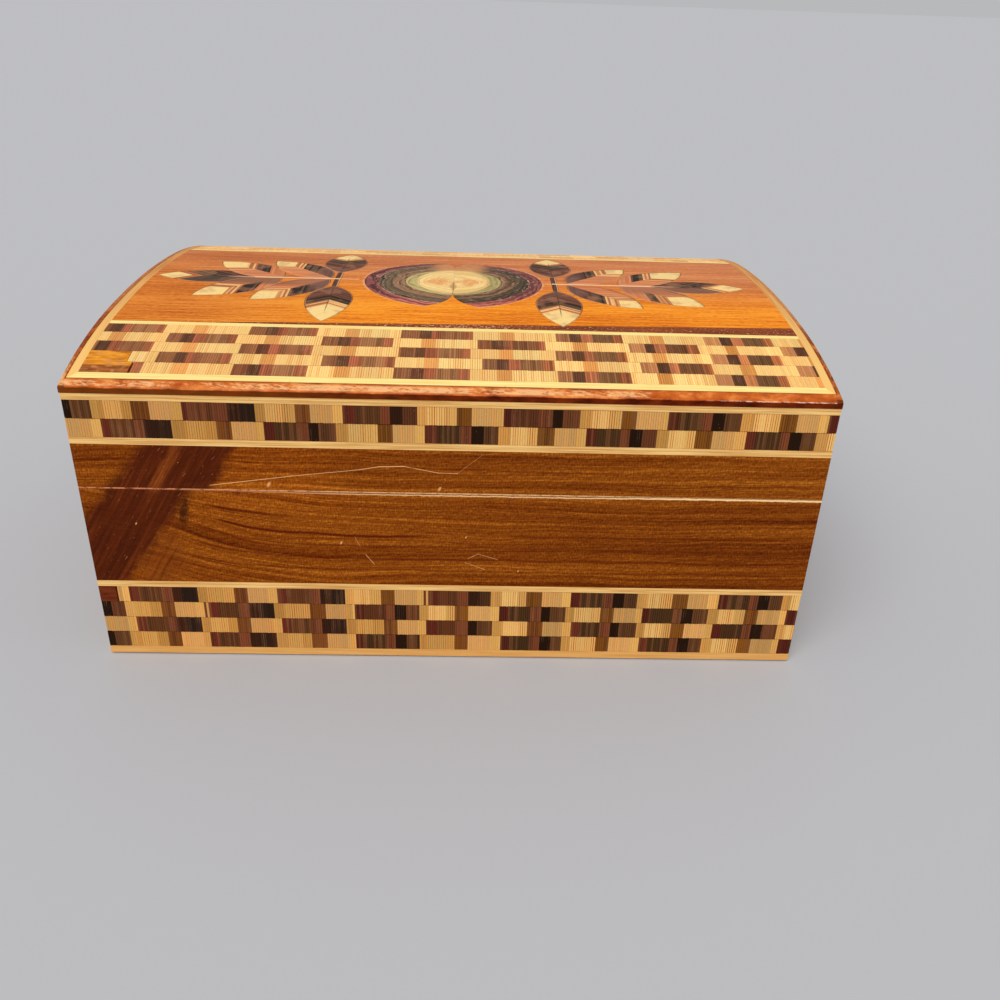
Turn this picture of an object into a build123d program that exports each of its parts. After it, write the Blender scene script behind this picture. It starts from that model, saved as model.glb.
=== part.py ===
from build123d import *
import os
from math import asin, cos, radians, sin, sqrt, tan

# Hinged keepsake box with straw marquetry and an arched lid.
# X runs along the box, Y from the front to the back, Z up.
# The origin is the middle of the underside, and lengths are in millimetres.

# Whole box
box_width = 150.0
box_depth = 110.0
split_height = 41.0
lid_gap = 0.1
edge_height = 63.2

# Arch of the lid: a flat crown between two rounder shoulders
crown_radius = 310.0
shoulder_radius = 150.0
crown_half_angle = 5.1

# Boards
board_thickness = 6.0
bottom_thickness = 3.0
panel_thickness = 2.4

# Veneer and its strings and straw rows
skin_thickness = 0.5
glue_gap = 0.05
foot_gap = 0.4
foot_string = 1.7
string_width = 1.4
straw_row = 3.9
base_rows = 4
lid_side_rows = 2
lid_top_rows = 5

# Edge of the lid panel
edge_show = 1.9
chamfer_drop = 0.9
chamfer_front = 1.8
chamfer_side = 1.0
border_front = 1.9
border_side = 1.7

# Inlaid ornament on the lid: two sprays of leaves, each from a stem out to a tip, and a rosette between
inlay_gap = 0.1
smallest_island = 1.0
leaf_width = 10.4
leaf_belly = 9.5
stem_width = 1.2
midrib_width = 0.7
upright_start = 6.2
upright_tip_margin = 2.1
inner_leaf_turn = 46.0
outer_leaf_turn = 39.0
left_tip_margin = 0.9
left_midrib_length = 19.6
left_inner_leaf_step = 1.8
left_outer_leaf_step = 13.1
right_tip_margin = 4.1
right_midrib_length = 23.2
right_inner_leaf_step = 3.2
right_outer_leaf_step = 15.8
rosette_left_gap = 6.5
rosette_right_gap = 3.1
rosette_end_gap = 11.6
rosette_x = -1.7
rosette_half_width = 21.0
ring_width = 3.2
front_notch_gap = 2.0
back_notch_gap = 5.0
notch_radius = 9.6

# Hinges
hinge_length = 16.0
hinge_setback = 29.0
hinge_inset = 1.6
opening_angle = 105.0
stop_clearance = 1.0
knuckle_radius = 1.5
knuckle_gap = 0.15
knuckle_clearance = 0.3
pin_radius = 0.6
pin_running_gap = 0.05
pin_seat_gap = 0.02
leaf_reach = 4.1
leaf_plate = 0.8
mortise_gap = 0.05
nail_radius = 0.35
nail_head_radius = 0.7
nail_length = 6.0
nail_spread = 10.0
nail_inset = 1.2
nail_gap = 0.02
nail_head_angle = 90.0

os.makedirs("parts", exist_ok=True)

# Heights worked out from the sizes above
lid_floor = split_height + lid_gap
hinge_height = split_height + lid_gap / 2
base_band_low = foot_gap + foot_string
base_band_high = base_band_low + base_rows * straw_row
base_veneer_low = base_band_high + string_width
side_top = edge_height - edge_show
lid_band_high = side_top - string_width
lid_band_low = lid_band_high - lid_side_rows * straw_row
lid_veneer_high = lid_band_low - string_width

# Half sizes in plan
half_width = box_width / 2
half_depth = box_depth / 2
board_half_width = half_width - skin_thickness
board_half_depth = half_depth - skin_thickness
inner_half_width = board_half_width - board_thickness
inner_half_depth = board_half_depth - board_thickness

# Centres of the arcs of the arch
crown_angle = radians(crown_half_angle)
shoulder_y = (crown_radius - shoulder_radius) * sin(crown_angle)
edge_angle = asin((half_depth - shoulder_y) / shoulder_radius)
shoulder_z = edge_height - shoulder_radius * cos(edge_angle)
crown_z = shoulder_z - (crown_radius - shoulder_radius) * cos(crown_angle)
above_lid = crown_z + 2 * crown_radius

# How far below the lid's surface each arched face lies
layer_inset = skin_thickness - glue_gap
panel_inset = skin_thickness
rebate_inset = edge_show * cos(edge_angle)
under_panel = panel_inset + panel_thickness
board_inset = under_panel + glue_gap


def arch_height(y, inset):
    """Height of the arched face that lies inset below the lid's surface."""
    if abs(y) <= (crown_radius - inset) * sin(crown_angle):
        return crown_z + sqrt((crown_radius - inset) ** 2 - y**2)
    return shoulder_z + sqrt((shoulder_radius - inset) ** 2 - (abs(y) - shoulder_y) ** 2)


def along_arch(length):
    """Distance from the middle, in plan, of a point that lies length away along the arch."""
    crown_length = crown_radius * crown_angle
    if length <= crown_length:
        return crown_radius * sin(length / crown_radius)
    turn = crown_angle + (length - crown_length) / shoulder_radius
    return shoulder_y + shoulder_radius * sin(turn)


def arch_section(inset, near, far, floor):
    """Section in the YZ plane under one arched face, from near to far and down to floor."""
    join = (crown_radius - inset) * sin(crown_angle)
    middle = (join + half_depth) / 2
    with BuildSketch(Plane.YZ) as section:
        with BuildLine():
            ThreePointArc(
                (-half_depth, arch_height(half_depth, inset)),
                (-middle, arch_height(middle, inset)),
                (-join, arch_height(join, inset)),
            )
            ThreePointArc(
                (-join, arch_height(join, inset)),
                (0, arch_height(0, inset)),
                (join, arch_height(join, inset)),
            )
            ThreePointArc(
                (join, arch_height(join, inset)),
                (middle, arch_height(middle, inset)),
                (half_depth, arch_height(half_depth, inset)),
            )
            Polyline(
                (half_depth, arch_height(half_depth, inset)),
                (half_depth, 0),
                (-half_depth, 0),
                (-half_depth, arch_height(half_depth, inset)),
            )
        make_face()
        with Locations(((near + far) / 2, (floor + above_lid) / 2)):
            Rectangle(far - near, above_lid - floor, mode=Mode.INTERSECT)
    return section.sketch


def save(piece, name):
    """Name a finished piece and write it out."""
    piece.part.label = name
    export_step(piece.part, f"parts/{name}.step")


# Straight V groove along the back, whose faces stop the lid when it is open
groove_half_angle = (opening_angle + stop_clearance) / 2
hinge_y = half_depth - hinge_inset
groove_run = 2 * hinge_inset
groove_rise = groove_run * tan(radians(groove_half_angle))

with BuildPart() as back_groove:
    with BuildSketch(Plane.YZ):
        with BuildLine():
            Polyline(
                (hinge_y, hinge_height),
                (hinge_y + groove_run, hinge_height + groove_rise),
                (hinge_y + groove_run, hinge_height - groove_rise),
                close=True,
            )
        make_face()
    extrude(amount=box_width, both=True)

# Room in the back boards for the hinges: leaf pockets and a round way for the knuckles
hinge_x = half_width - hinge_setback
hinge_places = [("left", -hinge_x), ("right", hinge_x)]
leaf_edge = hinge_y - leaf_reach
leaf_recess = leaf_plate + lid_gap / 2 + mortise_gap
knuckle_way = knuckle_radius + knuckle_clearance
nail_y = leaf_edge + nail_inset
nail_places = [
    (place + step, nail_y)
    for side, place in hinge_places
    for step in (-nail_spread / 2, nail_spread / 2)
]

with BuildPart() as hinge_room:
    with BuildSketch(Plane.XY.offset(hinge_height)):
        for side, place in hinge_places:
            with Locations((place, (leaf_edge + hinge_y) / 2)):
                Rectangle(hinge_length + 2 * mortise_gap, leaf_reach + 2 * mortise_gap)
    extrude(amount=leaf_recess, both=True)
    for side, place in hinge_places:
        with Locations((place, hinge_y, hinge_height)):
            Cylinder(knuckle_way, hinge_length + 2 * mortise_gap, rotation=(0, 90, 0))
    with BuildSketch(Plane.XY.offset(hinge_height)):
        with Locations(nail_places):
            Circle(nail_radius + nail_gap)
    extrude(amount=nail_length + leaf_recess, both=True)

# Base boards
for side, facing in [("front", -1), ("back", 1)]:
    with BuildPart() as base_board:
        with BuildSketch():
            with Locations((0, facing * (board_half_depth - board_thickness / 2))):
                Rectangle(2 * board_half_width, board_thickness)
        extrude(amount=split_height)
        if side == "back":
            add(back_groove.part, mode=Mode.SUBTRACT)
            add(hinge_room.part, mode=Mode.SUBTRACT)
    save(base_board, f"base_{side}_board")

for side, facing in [("left", -1), ("right", 1)]:
    with BuildPart() as base_board:
        with BuildSketch():
            with Locations((facing * (board_half_width - board_thickness / 2), 0)):
                Rectangle(board_thickness, 2 * inner_half_depth)
        extrude(amount=split_height)
    save(base_board, f"base_{side}_board")

with BuildPart() as base_bottom_panel:
    with BuildSketch():
        Rectangle(2 * inner_half_width, 2 * inner_half_depth)
    extrude(amount=bottom_thickness)
save(base_bottom_panel, "base_bottom_panel")

# Lid boards, planed to the arch under the panel
for side, facing in [("front", -1), ("back", 1)]:
    near, far = sorted((facing * inner_half_depth, facing * board_half_depth))
    with BuildPart() as lid_board:
        extrude(arch_section(board_inset, near, far, lid_floor), amount=board_half_width, both=True)
        if side == "back":
            add(back_groove.part, mode=Mode.SUBTRACT)
            add(hinge_room.part, mode=Mode.SUBTRACT)
    save(lid_board, f"lid_{side}_board")

for side, facing in [("left", -1), ("right", 1)]:
    end_face = Plane(origin=(facing * inner_half_width, 0, 0), z_dir=(facing, 0, 0))
    end_section = arch_section(board_inset, -inner_half_depth, inner_half_depth, lid_floor)
    with BuildPart() as lid_board:
        extrude(end_section.moved(Location(end_face.origin)), amount=board_thickness, dir=end_face.z_dir)
    save(lid_board, f"lid_{side}_board")

# Veneer, strings and straw bands on the four walls
faces = {
    "front": (0, -(half_depth - skin_thickness / 2), box_width, skin_thickness),
    "back": (0, half_depth - skin_thickness / 2, box_width, skin_thickness),
    "left": (-(half_width - skin_thickness / 2), 0, skin_thickness, 2 * board_half_depth),
    "right": (half_width - skin_thickness / 2, 0, skin_thickness, 2 * board_half_depth),
}
base_layers = {
    "strings": [(foot_gap, base_band_low), (base_band_high, base_veneer_low)],
    "band": [(base_band_low, base_band_high)],
    "veneer": [(base_veneer_low, split_height)],
}
lid_layers = {
    "strings": [(lid_veneer_high, lid_band_low), (lid_band_high, side_top)],
    "band": [(lid_band_low, lid_band_high)],
    "veneer": [(lid_floor, lid_veneer_high)],
}

for half, layers in [("base", base_layers), ("lid", lid_layers)]:
    for side, (middle_x, middle_y, size_x, size_y) in faces.items():
        for layer, spans in layers.items():
            with BuildPart() as skin:
                for low, high in spans:
                    with BuildSketch(Plane.XY.offset(low)):
                        with Locations((middle_x, middle_y)):
                            Rectangle(size_x, size_y)
                    extrude(amount=high - low)
                if layer == "veneer" and side != "front":
                    add(back_groove.part, mode=Mode.SUBTRACT)
                if layer == "veneer" and side == "back":
                    add(hinge_room.part, mode=Mode.SUBTRACT)
                if layer == "veneer" and half == "lid" and size_x == skin_thickness:
                    gable = arch_section(rebate_inset + glue_gap, -board_half_depth, board_half_depth, side_top)
                    low_x = middle_x - skin_thickness / 2
                    extrude(gable.moved(Location((low_x, 0, 0))), amount=skin_thickness, dir=(1, 0, 0))
            save(skin, f"{half}_{side}_{layer}")

# Whole top of the lid, with its chamfered rim, from which the panel and the veneer are cut
crown_floor = side_top - under_panel
with BuildPart() as crown:
    extrude(arch_section(0, -half_depth, half_depth, crown_floor), amount=half_width, both=True)
    for outward in (-1, 1):
        rim_face = crown.faces().sort_by(Axis.Y)[0 if outward < 0 else -1]
        rim = rim_face.edges().sort_by(Axis.Z)[-1]
        chamfer(rim, length=chamfer_drop, length2=chamfer_front, reference=rim_face)
    for outward in (-1, 1):
        rim_face = crown.faces().sort_by(Axis.X)[0 if outward < 0 else -1]
        rim = rim_face.edges().filter_by(GeomType.CIRCLE)
        chamfer(rim, length=chamfer_drop, length2=chamfer_side, reference=rim_face)

with BuildPart() as top_layer:
    add(crown.part)
    extrude(
        arch_section(layer_inset, -half_depth, half_depth, crown_floor),
        amount=half_width,
        both=True,
        mode=Mode.SUBTRACT,
    )

with BuildPart() as edge_rebate:
    with BuildSketch():
        Rectangle(box_width, box_depth)
        Rectangle(2 * board_half_width, 2 * board_half_depth, mode=Mode.SUBTRACT)
    extrude(amount=above_lid)
    extrude(
        arch_section(rebate_inset, -half_depth, half_depth, 0),
        amount=half_width,
        both=True,
        mode=Mode.INTERSECT,
    )

with BuildPart() as lid_top_panel:
    add(crown.part)
    extrude(
        arch_section(panel_inset, -half_depth, half_depth, crown_floor),
        amount=half_width,
        both=True,
        mode=Mode.INTERSECT,
    )
    extrude(
        arch_section(under_panel, -half_depth, half_depth, 0),
        amount=half_width,
        both=True,
        mode=Mode.SUBTRACT,
    )
    add(edge_rebate.part, mode=Mode.SUBTRACT)
save(lid_top_panel, "lid_top_panel")

# Layout of the top, measured along the arch from the middle
arch_length = crown_radius * crown_angle + shoulder_radius * (edge_angle - crown_angle)
border_outer = arch_length - chamfer_front
border_inner_y = along_arch(border_outer - border_front)
band_outer = border_outer - border_front
band_inner = band_outer - lid_top_rows * straw_row
band_inner_y = along_arch(band_inner)
field_half_depth = along_arch(band_inner - string_width)
field_half_width = half_width - chamfer_side - border_side


def cut_from_top(outline, name):
    """Cut one piece of the lid's veneer straight down along its outline."""
    with BuildPart() as piece:
        extrude(outline, amount=above_lid)
        add(top_layer.part, mode=Mode.INTERSECT)
    save(piece, name)


def strip_outline(near, far):
    """Strip that runs the width of the field, from near to far."""
    with BuildSketch() as strip:
        with Locations((0, (near + far) / 2)):
            Rectangle(2 * field_half_width, abs(far - near))
    return strip.sketch


cut_from_top(strip_outline(-border_inner_y, -band_inner_y), "lid_top_front_band")
cut_from_top(strip_outline(band_inner_y, border_inner_y), "lid_top_back_band")

with BuildSketch() as inner_strings:
    add(strip_outline(-band_inner_y, -field_half_depth))
    add(strip_outline(field_half_depth, band_inner_y))
cut_from_top(inner_strings.sketch, "lid_top_inner_strings")

for side, facing in [("front", -1), ("back", 1)]:
    with BuildSketch() as border:
        with BuildLine():
            Polyline(
                (-half_width, facing * half_depth),
                (half_width, facing * half_depth),
                (field_half_width, facing * border_inner_y),
                (-field_half_width, facing * border_inner_y),
                close=True,
            )
        make_face()
    cut_from_top(border.sketch, f"lid_top_{side}_border")

for side, facing in [("left", -1), ("right", 1)]:
    with BuildSketch() as border:
        with BuildLine():
            Polyline(
                (facing * half_width, -half_depth),
                (facing * half_width, half_depth),
                (facing * field_half_width, border_inner_y),
                (facing * field_half_width, -border_inner_y),
                close=True,
            )
        make_face()
    cut_from_top(border.sketch, f"lid_top_{side}_border")


# Places of the ornament, from the rosette outwards to the sides of the field
leaf_length = field_half_depth - upright_tip_margin - upright_start
left_stem_x = rosette_x - rosette_half_width - rosette_left_gap
right_stem_x = rosette_x + rosette_half_width + rosette_right_gap
left_end_x = left_stem_x - left_midrib_length
right_end_x = right_stem_x + right_midrib_length
left_end_length = field_half_width - left_tip_margin + left_end_x
right_end_length = field_half_width - right_tip_margin - right_end_x
ring_names = ["maroon_ring", "black_ring", "brown_ring", "green_ring", "heart"]
heart_half_width = rosette_half_width - (len(ring_names) - 1) * ring_width
rosette_half_depth = field_half_depth - rosette_end_gap
heart_half_depth = rosette_half_depth * heart_half_width / rosette_half_width


def leaf_outline(start_x, start_y, heading, length, grow):
    """Pointed leaf seen from above, grown all round for the pocket it lies in."""
    turn = radians(heading)
    leaf_plane = Plane(origin=(start_x, start_y, 0), x_dir=(cos(turn), sin(turn), 0))
    widest = (leaf_belly, leaf_width / 2 + grow)
    with BuildSketch(leaf_plane) as leaf:
        with BuildLine():
            TangentArc(widest, (length + 2 * grow, 0), tangent=(1, 0))
            TangentArc(widest, (-2 * grow, 0), tangent=(-1, 0))
            mirror(about=Plane.XZ)
        make_face()
    return leaf.sketch


def notch_outline(gap, facing, grow):
    """Flared cut into the rosette down to a gap from its heart, narrowed by grow on each side."""
    apex = heart_half_depth + gap
    tip = facing * (apex + 2 * grow)
    bend = facing * (apex + notch_radius)
    mouth = facing * rosette_half_depth * 2
    half_mouth = notch_radius - grow
    with BuildSketch() as notch:
        with BuildLine():
            TangentArc((rosette_x, tip), (rosette_x - half_mouth, bend), tangent=(0, facing))
            TangentArc((rosette_x, tip), (rosette_x + half_mouth, bend), tangent=(0, facing))
            Polyline(
                (rosette_x - half_mouth, bend),
                (rosette_x - half_mouth, mouth),
                (rosette_x + half_mouth, mouth),
                (rosette_x + half_mouth, bend),
            )
        make_face()
    return notch.sketch


def rosette_outline(ring, grow):
    """Notched oval that bounds one ring of the rosette, counted from the outside."""
    shrink = (rosette_half_width - ring * ring_width) / rosette_half_width
    with BuildSketch() as oval:
        with Locations((rosette_x, 0)):
            Ellipse(rosette_half_width * shrink + grow, rosette_half_depth * shrink + grow)
        add(notch_outline(front_notch_gap, -1, grow), mode=Mode.SUBTRACT)
        add(notch_outline(back_notch_gap, 1, grow), mode=Mode.SUBTRACT)
    return oval.sketch


# Rings of the rosette, each in a left and a right half
for ring, ring_name in enumerate(ring_names):
    with BuildSketch() as ring_face:
        add(rosette_outline(ring, 0))
        if ring + 1 < len(ring_names):
            add(rosette_outline(ring + 1, inlay_gap), mode=Mode.SUBTRACT)
        with Locations((rosette_x, 0)):
            Rectangle(inlay_gap, box_depth, mode=Mode.SUBTRACT)
    cut_from_top(ring_face.sketch, f"rosette_{ring_name}")


def stem_outline(stem_x, end_x, grow):
    """Upright stem and the midrib that runs from it to the leaf at the end."""
    with BuildSketch() as stem:
        with Locations((stem_x, 0)):
            Rectangle(stem_width + 2 * grow, 2 * upright_start - 2 * inlay_gap + 2 * grow)
        with Locations(((stem_x + end_x) / 2, 0)):
            Rectangle(abs(end_x - stem_x), midrib_width + 2 * grow)
    return stem.sketch


def slanted_pair(start_x, turn, outward, grow):
    """Front and back leaf that start at the midrib and lean away from the middle of the lid."""
    back_heading = turn if outward > 0 else 180 - turn
    with BuildSketch() as pair:
        add(leaf_outline(start_x, midrib_width, back_heading, leaf_length, grow))
        add(leaf_outline(start_x, -midrib_width, -back_heading, leaf_length, grow))
    return pair.sketch


def upright_pair(stem_x, grow):
    """Front and back leaf at the two ends of an upright stem."""
    with BuildSketch() as pair:
        add(leaf_outline(stem_x, upright_start, 90, leaf_length, grow))
        add(leaf_outline(stem_x, -upright_start, -90, leaf_length, grow))
    return pair.sketch


# Two sprays: an upright pair, two slanted pairs and a leaf at the end
spray_places = {
    "left": (-1, left_stem_x, left_end_x, left_end_length),
    "right": (1, right_stem_x, right_end_x, right_end_length),
}
spray_steps = {
    "left": (left_inner_leaf_step, left_outer_leaf_step),
    "right": (right_inner_leaf_step, right_outer_leaf_step),
}
pockets = Sketch() + rosette_outline(0, inlay_gap)
stems = Sketch()
uprights = Sketch()
for side, (outward, stem_x, end_x, end_length) in spray_places.items():
    inner_step, outer_step = spray_steps[side]
    end_heading = 0 if outward > 0 else 180
    inner_x = stem_x + outward * inner_step
    outer_x = stem_x + outward * outer_step
    with BuildSketch() as taken:
        add(stem_outline(stem_x, end_x, inlay_gap))
        add(upright_pair(stem_x, inlay_gap))
    with BuildSketch() as inner_pair:
        add(slanted_pair(inner_x, inner_leaf_turn, outward, 0))
        add(taken.sketch, mode=Mode.SUBTRACT)
    with BuildSketch() as outer_pair:
        add(slanted_pair(outer_x, outer_leaf_turn, outward, 0))
        add(taken.sketch, mode=Mode.SUBTRACT)
        add(slanted_pair(inner_x, inner_leaf_turn, outward, inlay_gap), mode=Mode.SUBTRACT)
    with BuildSketch() as end_leaf:
        add(leaf_outline(end_x, 0, end_heading, end_length, 0))
        add(taken.sketch, mode=Mode.SUBTRACT)
        add(slanted_pair(outer_x, outer_leaf_turn, outward, inlay_gap), mode=Mode.SUBTRACT)
    cut_from_top(inner_pair.sketch + outer_pair.sketch + end_leaf.sketch, f"{side}_spray_leaves")
    stems += stem_outline(stem_x, end_x, 0)
    uprights += upright_pair(stem_x, 0)
    pockets += taken.sketch
    pockets += slanted_pair(inner_x, inner_leaf_turn, outward, inlay_gap)
    pockets += slanted_pair(outer_x, outer_leaf_turn, outward, inlay_gap)
    pockets += leaf_outline(end_x, 0, end_heading, end_length, inlay_gap)

cut_from_top(stems, "stems")
cut_from_top(uprights, "upright_leaves")

# Field round the ornament, with its small islands between the leaves but no splinters
with BuildSketch() as field:
    Rectangle(2 * field_half_width, 2 * field_half_depth)
    add(pockets, mode=Mode.SUBTRACT)
field_faces = Sketch([face for face in field.faces() if face.area > smallest_island])
cut_from_top(field_faces, "lid_top_field")

# Hinges: the base leaf holds the two outer knuckles and the pin, the lid leaf the middle one
knuckle_length = (hinge_length - 2 * knuckle_gap) / 3
knuckle_step = knuckle_length + knuckle_gap
plate_edge = hinge_y - knuckle_way
knuckles = {"base": (-1, [-knuckle_step, knuckle_step]), "lid": (1, [0])}

for side, place in hinge_places:
    for half, (facing, steps) in knuckles.items():
        plate_plane = Plane.XY.offset(hinge_height + facing * lid_gap / 2)
        seat = pin_seat_gap if half == "base" else pin_running_gap
        leaf_nails = [spot for spot in nail_places if abs(spot[0] - place) < hinge_length]
        with BuildPart() as hinge_leaf:
            with BuildSketch(plate_plane):
                with Locations((place, (leaf_edge + plate_edge) / 2)):
                    Rectangle(hinge_length, plate_edge - leaf_edge)
                for step in steps:
                    with Locations((place + step, (leaf_edge + hinge_y) / 2)):
                        Rectangle(knuckle_length, leaf_reach)
            extrude(amount=facing * leaf_plate)
            for step in steps:
                with Locations((place + step, hinge_y, hinge_height)):
                    Cylinder(knuckle_radius, knuckle_length, rotation=(0, 90, 0))
                    Cylinder(
                        pin_radius + seat, knuckle_length, rotation=(0, 90, 0), mode=Mode.SUBTRACT
                    )
            with Locations(Plane(plate_plane.origin, x_dir=(1, 0, 0), z_dir=(0, 0, -facing))):
                with Locations([(x, -facing * y) for x, y in leaf_nails]):
                    CounterSinkHole(
                        nail_radius + nail_gap,
                        nail_head_radius + nail_gap,
                        depth=leaf_plate,
                        counter_sink_angle=nail_head_angle,
                    )
        save(hinge_leaf, f"{side}_hinge_{half}_leaf")
    with BuildPart() as hinge_pin:
        with Locations((place, hinge_y, hinge_height)):
            Cylinder(pin_radius, hinge_length, rotation=(0, 90, 0))
    save(hinge_pin, f"{side}_hinge_pin")

# Nails that hold the hinge leaves
head_depth = (nail_head_radius - nail_radius) / tan(radians(nail_head_angle / 2))
for half, facing in [("base", -1), ("lid", 1)]:
    nail_face = hinge_height + facing * lid_gap / 2
    with BuildPart() as hinge_nails:
        for x, y in nail_places:
            with BuildSketch(Plane((x, y, nail_face), x_dir=(1, 0, 0), z_dir=(0, -1, 0))):
                with BuildLine():
                    Polyline(
                        (0, 0),
                        (nail_head_radius, 0),
                        (nail_radius, facing * head_depth),
                        (nail_radius, facing * nail_length),
                        (0, facing * nail_length),
                        close=True,
                    )
                make_face()
            revolve(axis=Axis((x, y, nail_face), (0, 0, 1)))
    save(hinge_nails, f"{half}_hinge_nails")
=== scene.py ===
import random
from math import asin, cos, pi, radians, sin

import bmesh
import bpy
import numpy as np
from mathutils import Matrix, Vector


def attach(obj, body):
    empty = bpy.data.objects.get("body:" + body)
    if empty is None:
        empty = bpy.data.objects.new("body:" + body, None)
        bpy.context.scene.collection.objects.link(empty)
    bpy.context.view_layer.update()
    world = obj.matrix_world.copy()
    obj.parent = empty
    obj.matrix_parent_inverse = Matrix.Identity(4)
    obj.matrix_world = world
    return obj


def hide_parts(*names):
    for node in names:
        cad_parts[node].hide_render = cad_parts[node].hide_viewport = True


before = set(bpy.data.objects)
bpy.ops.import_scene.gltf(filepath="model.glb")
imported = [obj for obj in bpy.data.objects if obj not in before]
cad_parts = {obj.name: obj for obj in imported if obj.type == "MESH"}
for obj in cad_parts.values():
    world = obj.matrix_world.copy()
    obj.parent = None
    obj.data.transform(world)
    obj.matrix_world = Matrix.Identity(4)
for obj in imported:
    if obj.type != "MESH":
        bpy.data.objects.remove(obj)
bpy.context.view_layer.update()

# Trinket box with straw marquetry. Lengths are millimetres, and MM turns them into the metres of a mesh.
MM = 0.001

# Sizes of the box that the finishes follow
HALF_WIDTH = 75.0
HALF_DEPTH = 55.0
SPLIT_HEIGHT = 41.05
EDGE_HEIGHT = 63.2
CROWN_RADIUS = 310.0
SHOULDER_RADIUS = 150.0
CROWN_ANGLE = radians(5.1)
SKIN = 0.5
TOP_SKIN = 0.45
STRAW_ROW = 3.9
FIELD_HALF_WIDTH = 72.3
FIELD_HALF_DEPTH = 30.89
TOP_BAND_MIDDLE = 42.09
BASE_BAND_MIDDLE = 9.9
LID_BAND_MIDDLE = 56.0
RIM_DROP = 0.9
RIM_BOTTOM = 1.88
RIM_INNER_X = 73.98
RIM_INNER_Y = 53.25
RIM_OUTER_X = 75.6
RIM_OUTER_Y = 55.12
ROSETTE_X = -1.7
ROSETTE_OVAL = 0.92
ROSETTE_RADIUS = 21.0
LEFT_STEM_X = -29.2
RIGHT_STEM_X = 22.4

SHOULDER_Y = (CROWN_RADIUS - SHOULDER_RADIUS) * sin(CROWN_ANGLE)
EDGE_ANGLE = asin((HALF_DEPTH - SHOULDER_Y) / SHOULDER_RADIUS)
SHOULDER_Z = EDGE_HEIGHT - SHOULDER_RADIUS * cos(EDGE_ANGLE)
CROWN_Z = SHOULDER_Z - (CROWN_RADIUS - SHOULDER_RADIUS) * cos(CROWN_ANGLE)

SIDES = ("front", "back", "left", "right")
LONG_SIDES = SIDES[:2]
END_SIDES = SIDES[2:]
HALVES = ("base", "lid")


def dye(red, green, blue):
    """Colour given as on a screen, turned into the linear one that shaders use."""
    channels = [c / 255 for c in (red, green, blue)]
    linear = [c / 12.92 if c <= 0.04045 else ((c + 0.055) / 1.055) ** 2.4 for c in channels]
    return (*linear, 1.0)


def operator(operation, reflected=False):
    """Python operator that adds the Math node of one operation."""

    def node_of(value, other):
        pair = [other, value] if reflected else [value, other]
        return value.nodes.add("ShaderNodeMath", {"operation": operation}, pair)

    return node_of


class Value:
    """An output socket that takes part in Python arithmetic."""

    __add__ = __radd__ = operator("ADD")
    __sub__ = operator("SUBTRACT")
    __rsub__ = operator("SUBTRACT", reflected=True)
    __mul__ = __rmul__ = operator("MULTIPLY")
    __truediv__ = operator("DIVIDE")
    __pow__ = operator("POWER")
    __gt__ = operator("GREATER_THAN")
    __lt__ = operator("LESS_THAN")

    def __init__(self, nodes, socket):
        self.nodes = nodes
        self.socket = socket

    def math(self, operation, *others):
        return self.nodes.add("ShaderNodeMath", {"operation": operation}, [self, *others])

    def __abs__(self):
        return self.math("ABSOLUTE")

    def floor(self):
        return self.math("FLOOR")

    def fraction(self):
        return self.math("FRACT")

    def clamped(self):
        return self.nodes.add("ShaderNodeClamp", {}, [self])


class Nodes:
    """Adds nodes to a tree and links them."""

    def __init__(self, tree):
        self.tree = tree

    def add(self, kind, settings, inputs, output=0):
        """One node: its settings first, then the values or links of its sockets."""
        node = self.tree.nodes.new(kind)
        for setting, choice in settings.items():
            if setting == "stops":
                self.set_stops(node.color_ramp, choice)
            elif setting == "interpolation":
                node.color_ramp.interpolation = choice
            else:
                setattr(node, setting, choice)
        pairs = inputs.items() if isinstance(inputs, dict) else enumerate(inputs)
        for place, content in pairs:
            if isinstance(content, Value):
                self.tree.links.new(content.socket, node.inputs[place])
            else:
                node.inputs[place].default_value = content
        return Value(self, node.outputs[output])

    def set_stops(self, ramp, stops):
        """Colours of a ramp at their positions."""
        while len(ramp.elements) < len(stops):
            ramp.elements.new(1.0)
        for element, (position, colour) in zip(ramp.elements, stops):
            element.position = position
            element.color = colour

    def split(self, vector):
        """The three numbers of a vector."""
        return [self.add("ShaderNodeSeparateXYZ", {}, [vector], n) for n in range(3)]

    def vector(self, x, y, z):
        return self.add("ShaderNodeCombineXYZ", {}, [x, y, z])

    def chance(self, x, y, z):
        """Random number from 0 to 1 that belongs to three numbers."""
        return self.add("ShaderNodeTexWhiteNoise", {}, {"Vector": self.vector(x, y, z)})


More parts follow.
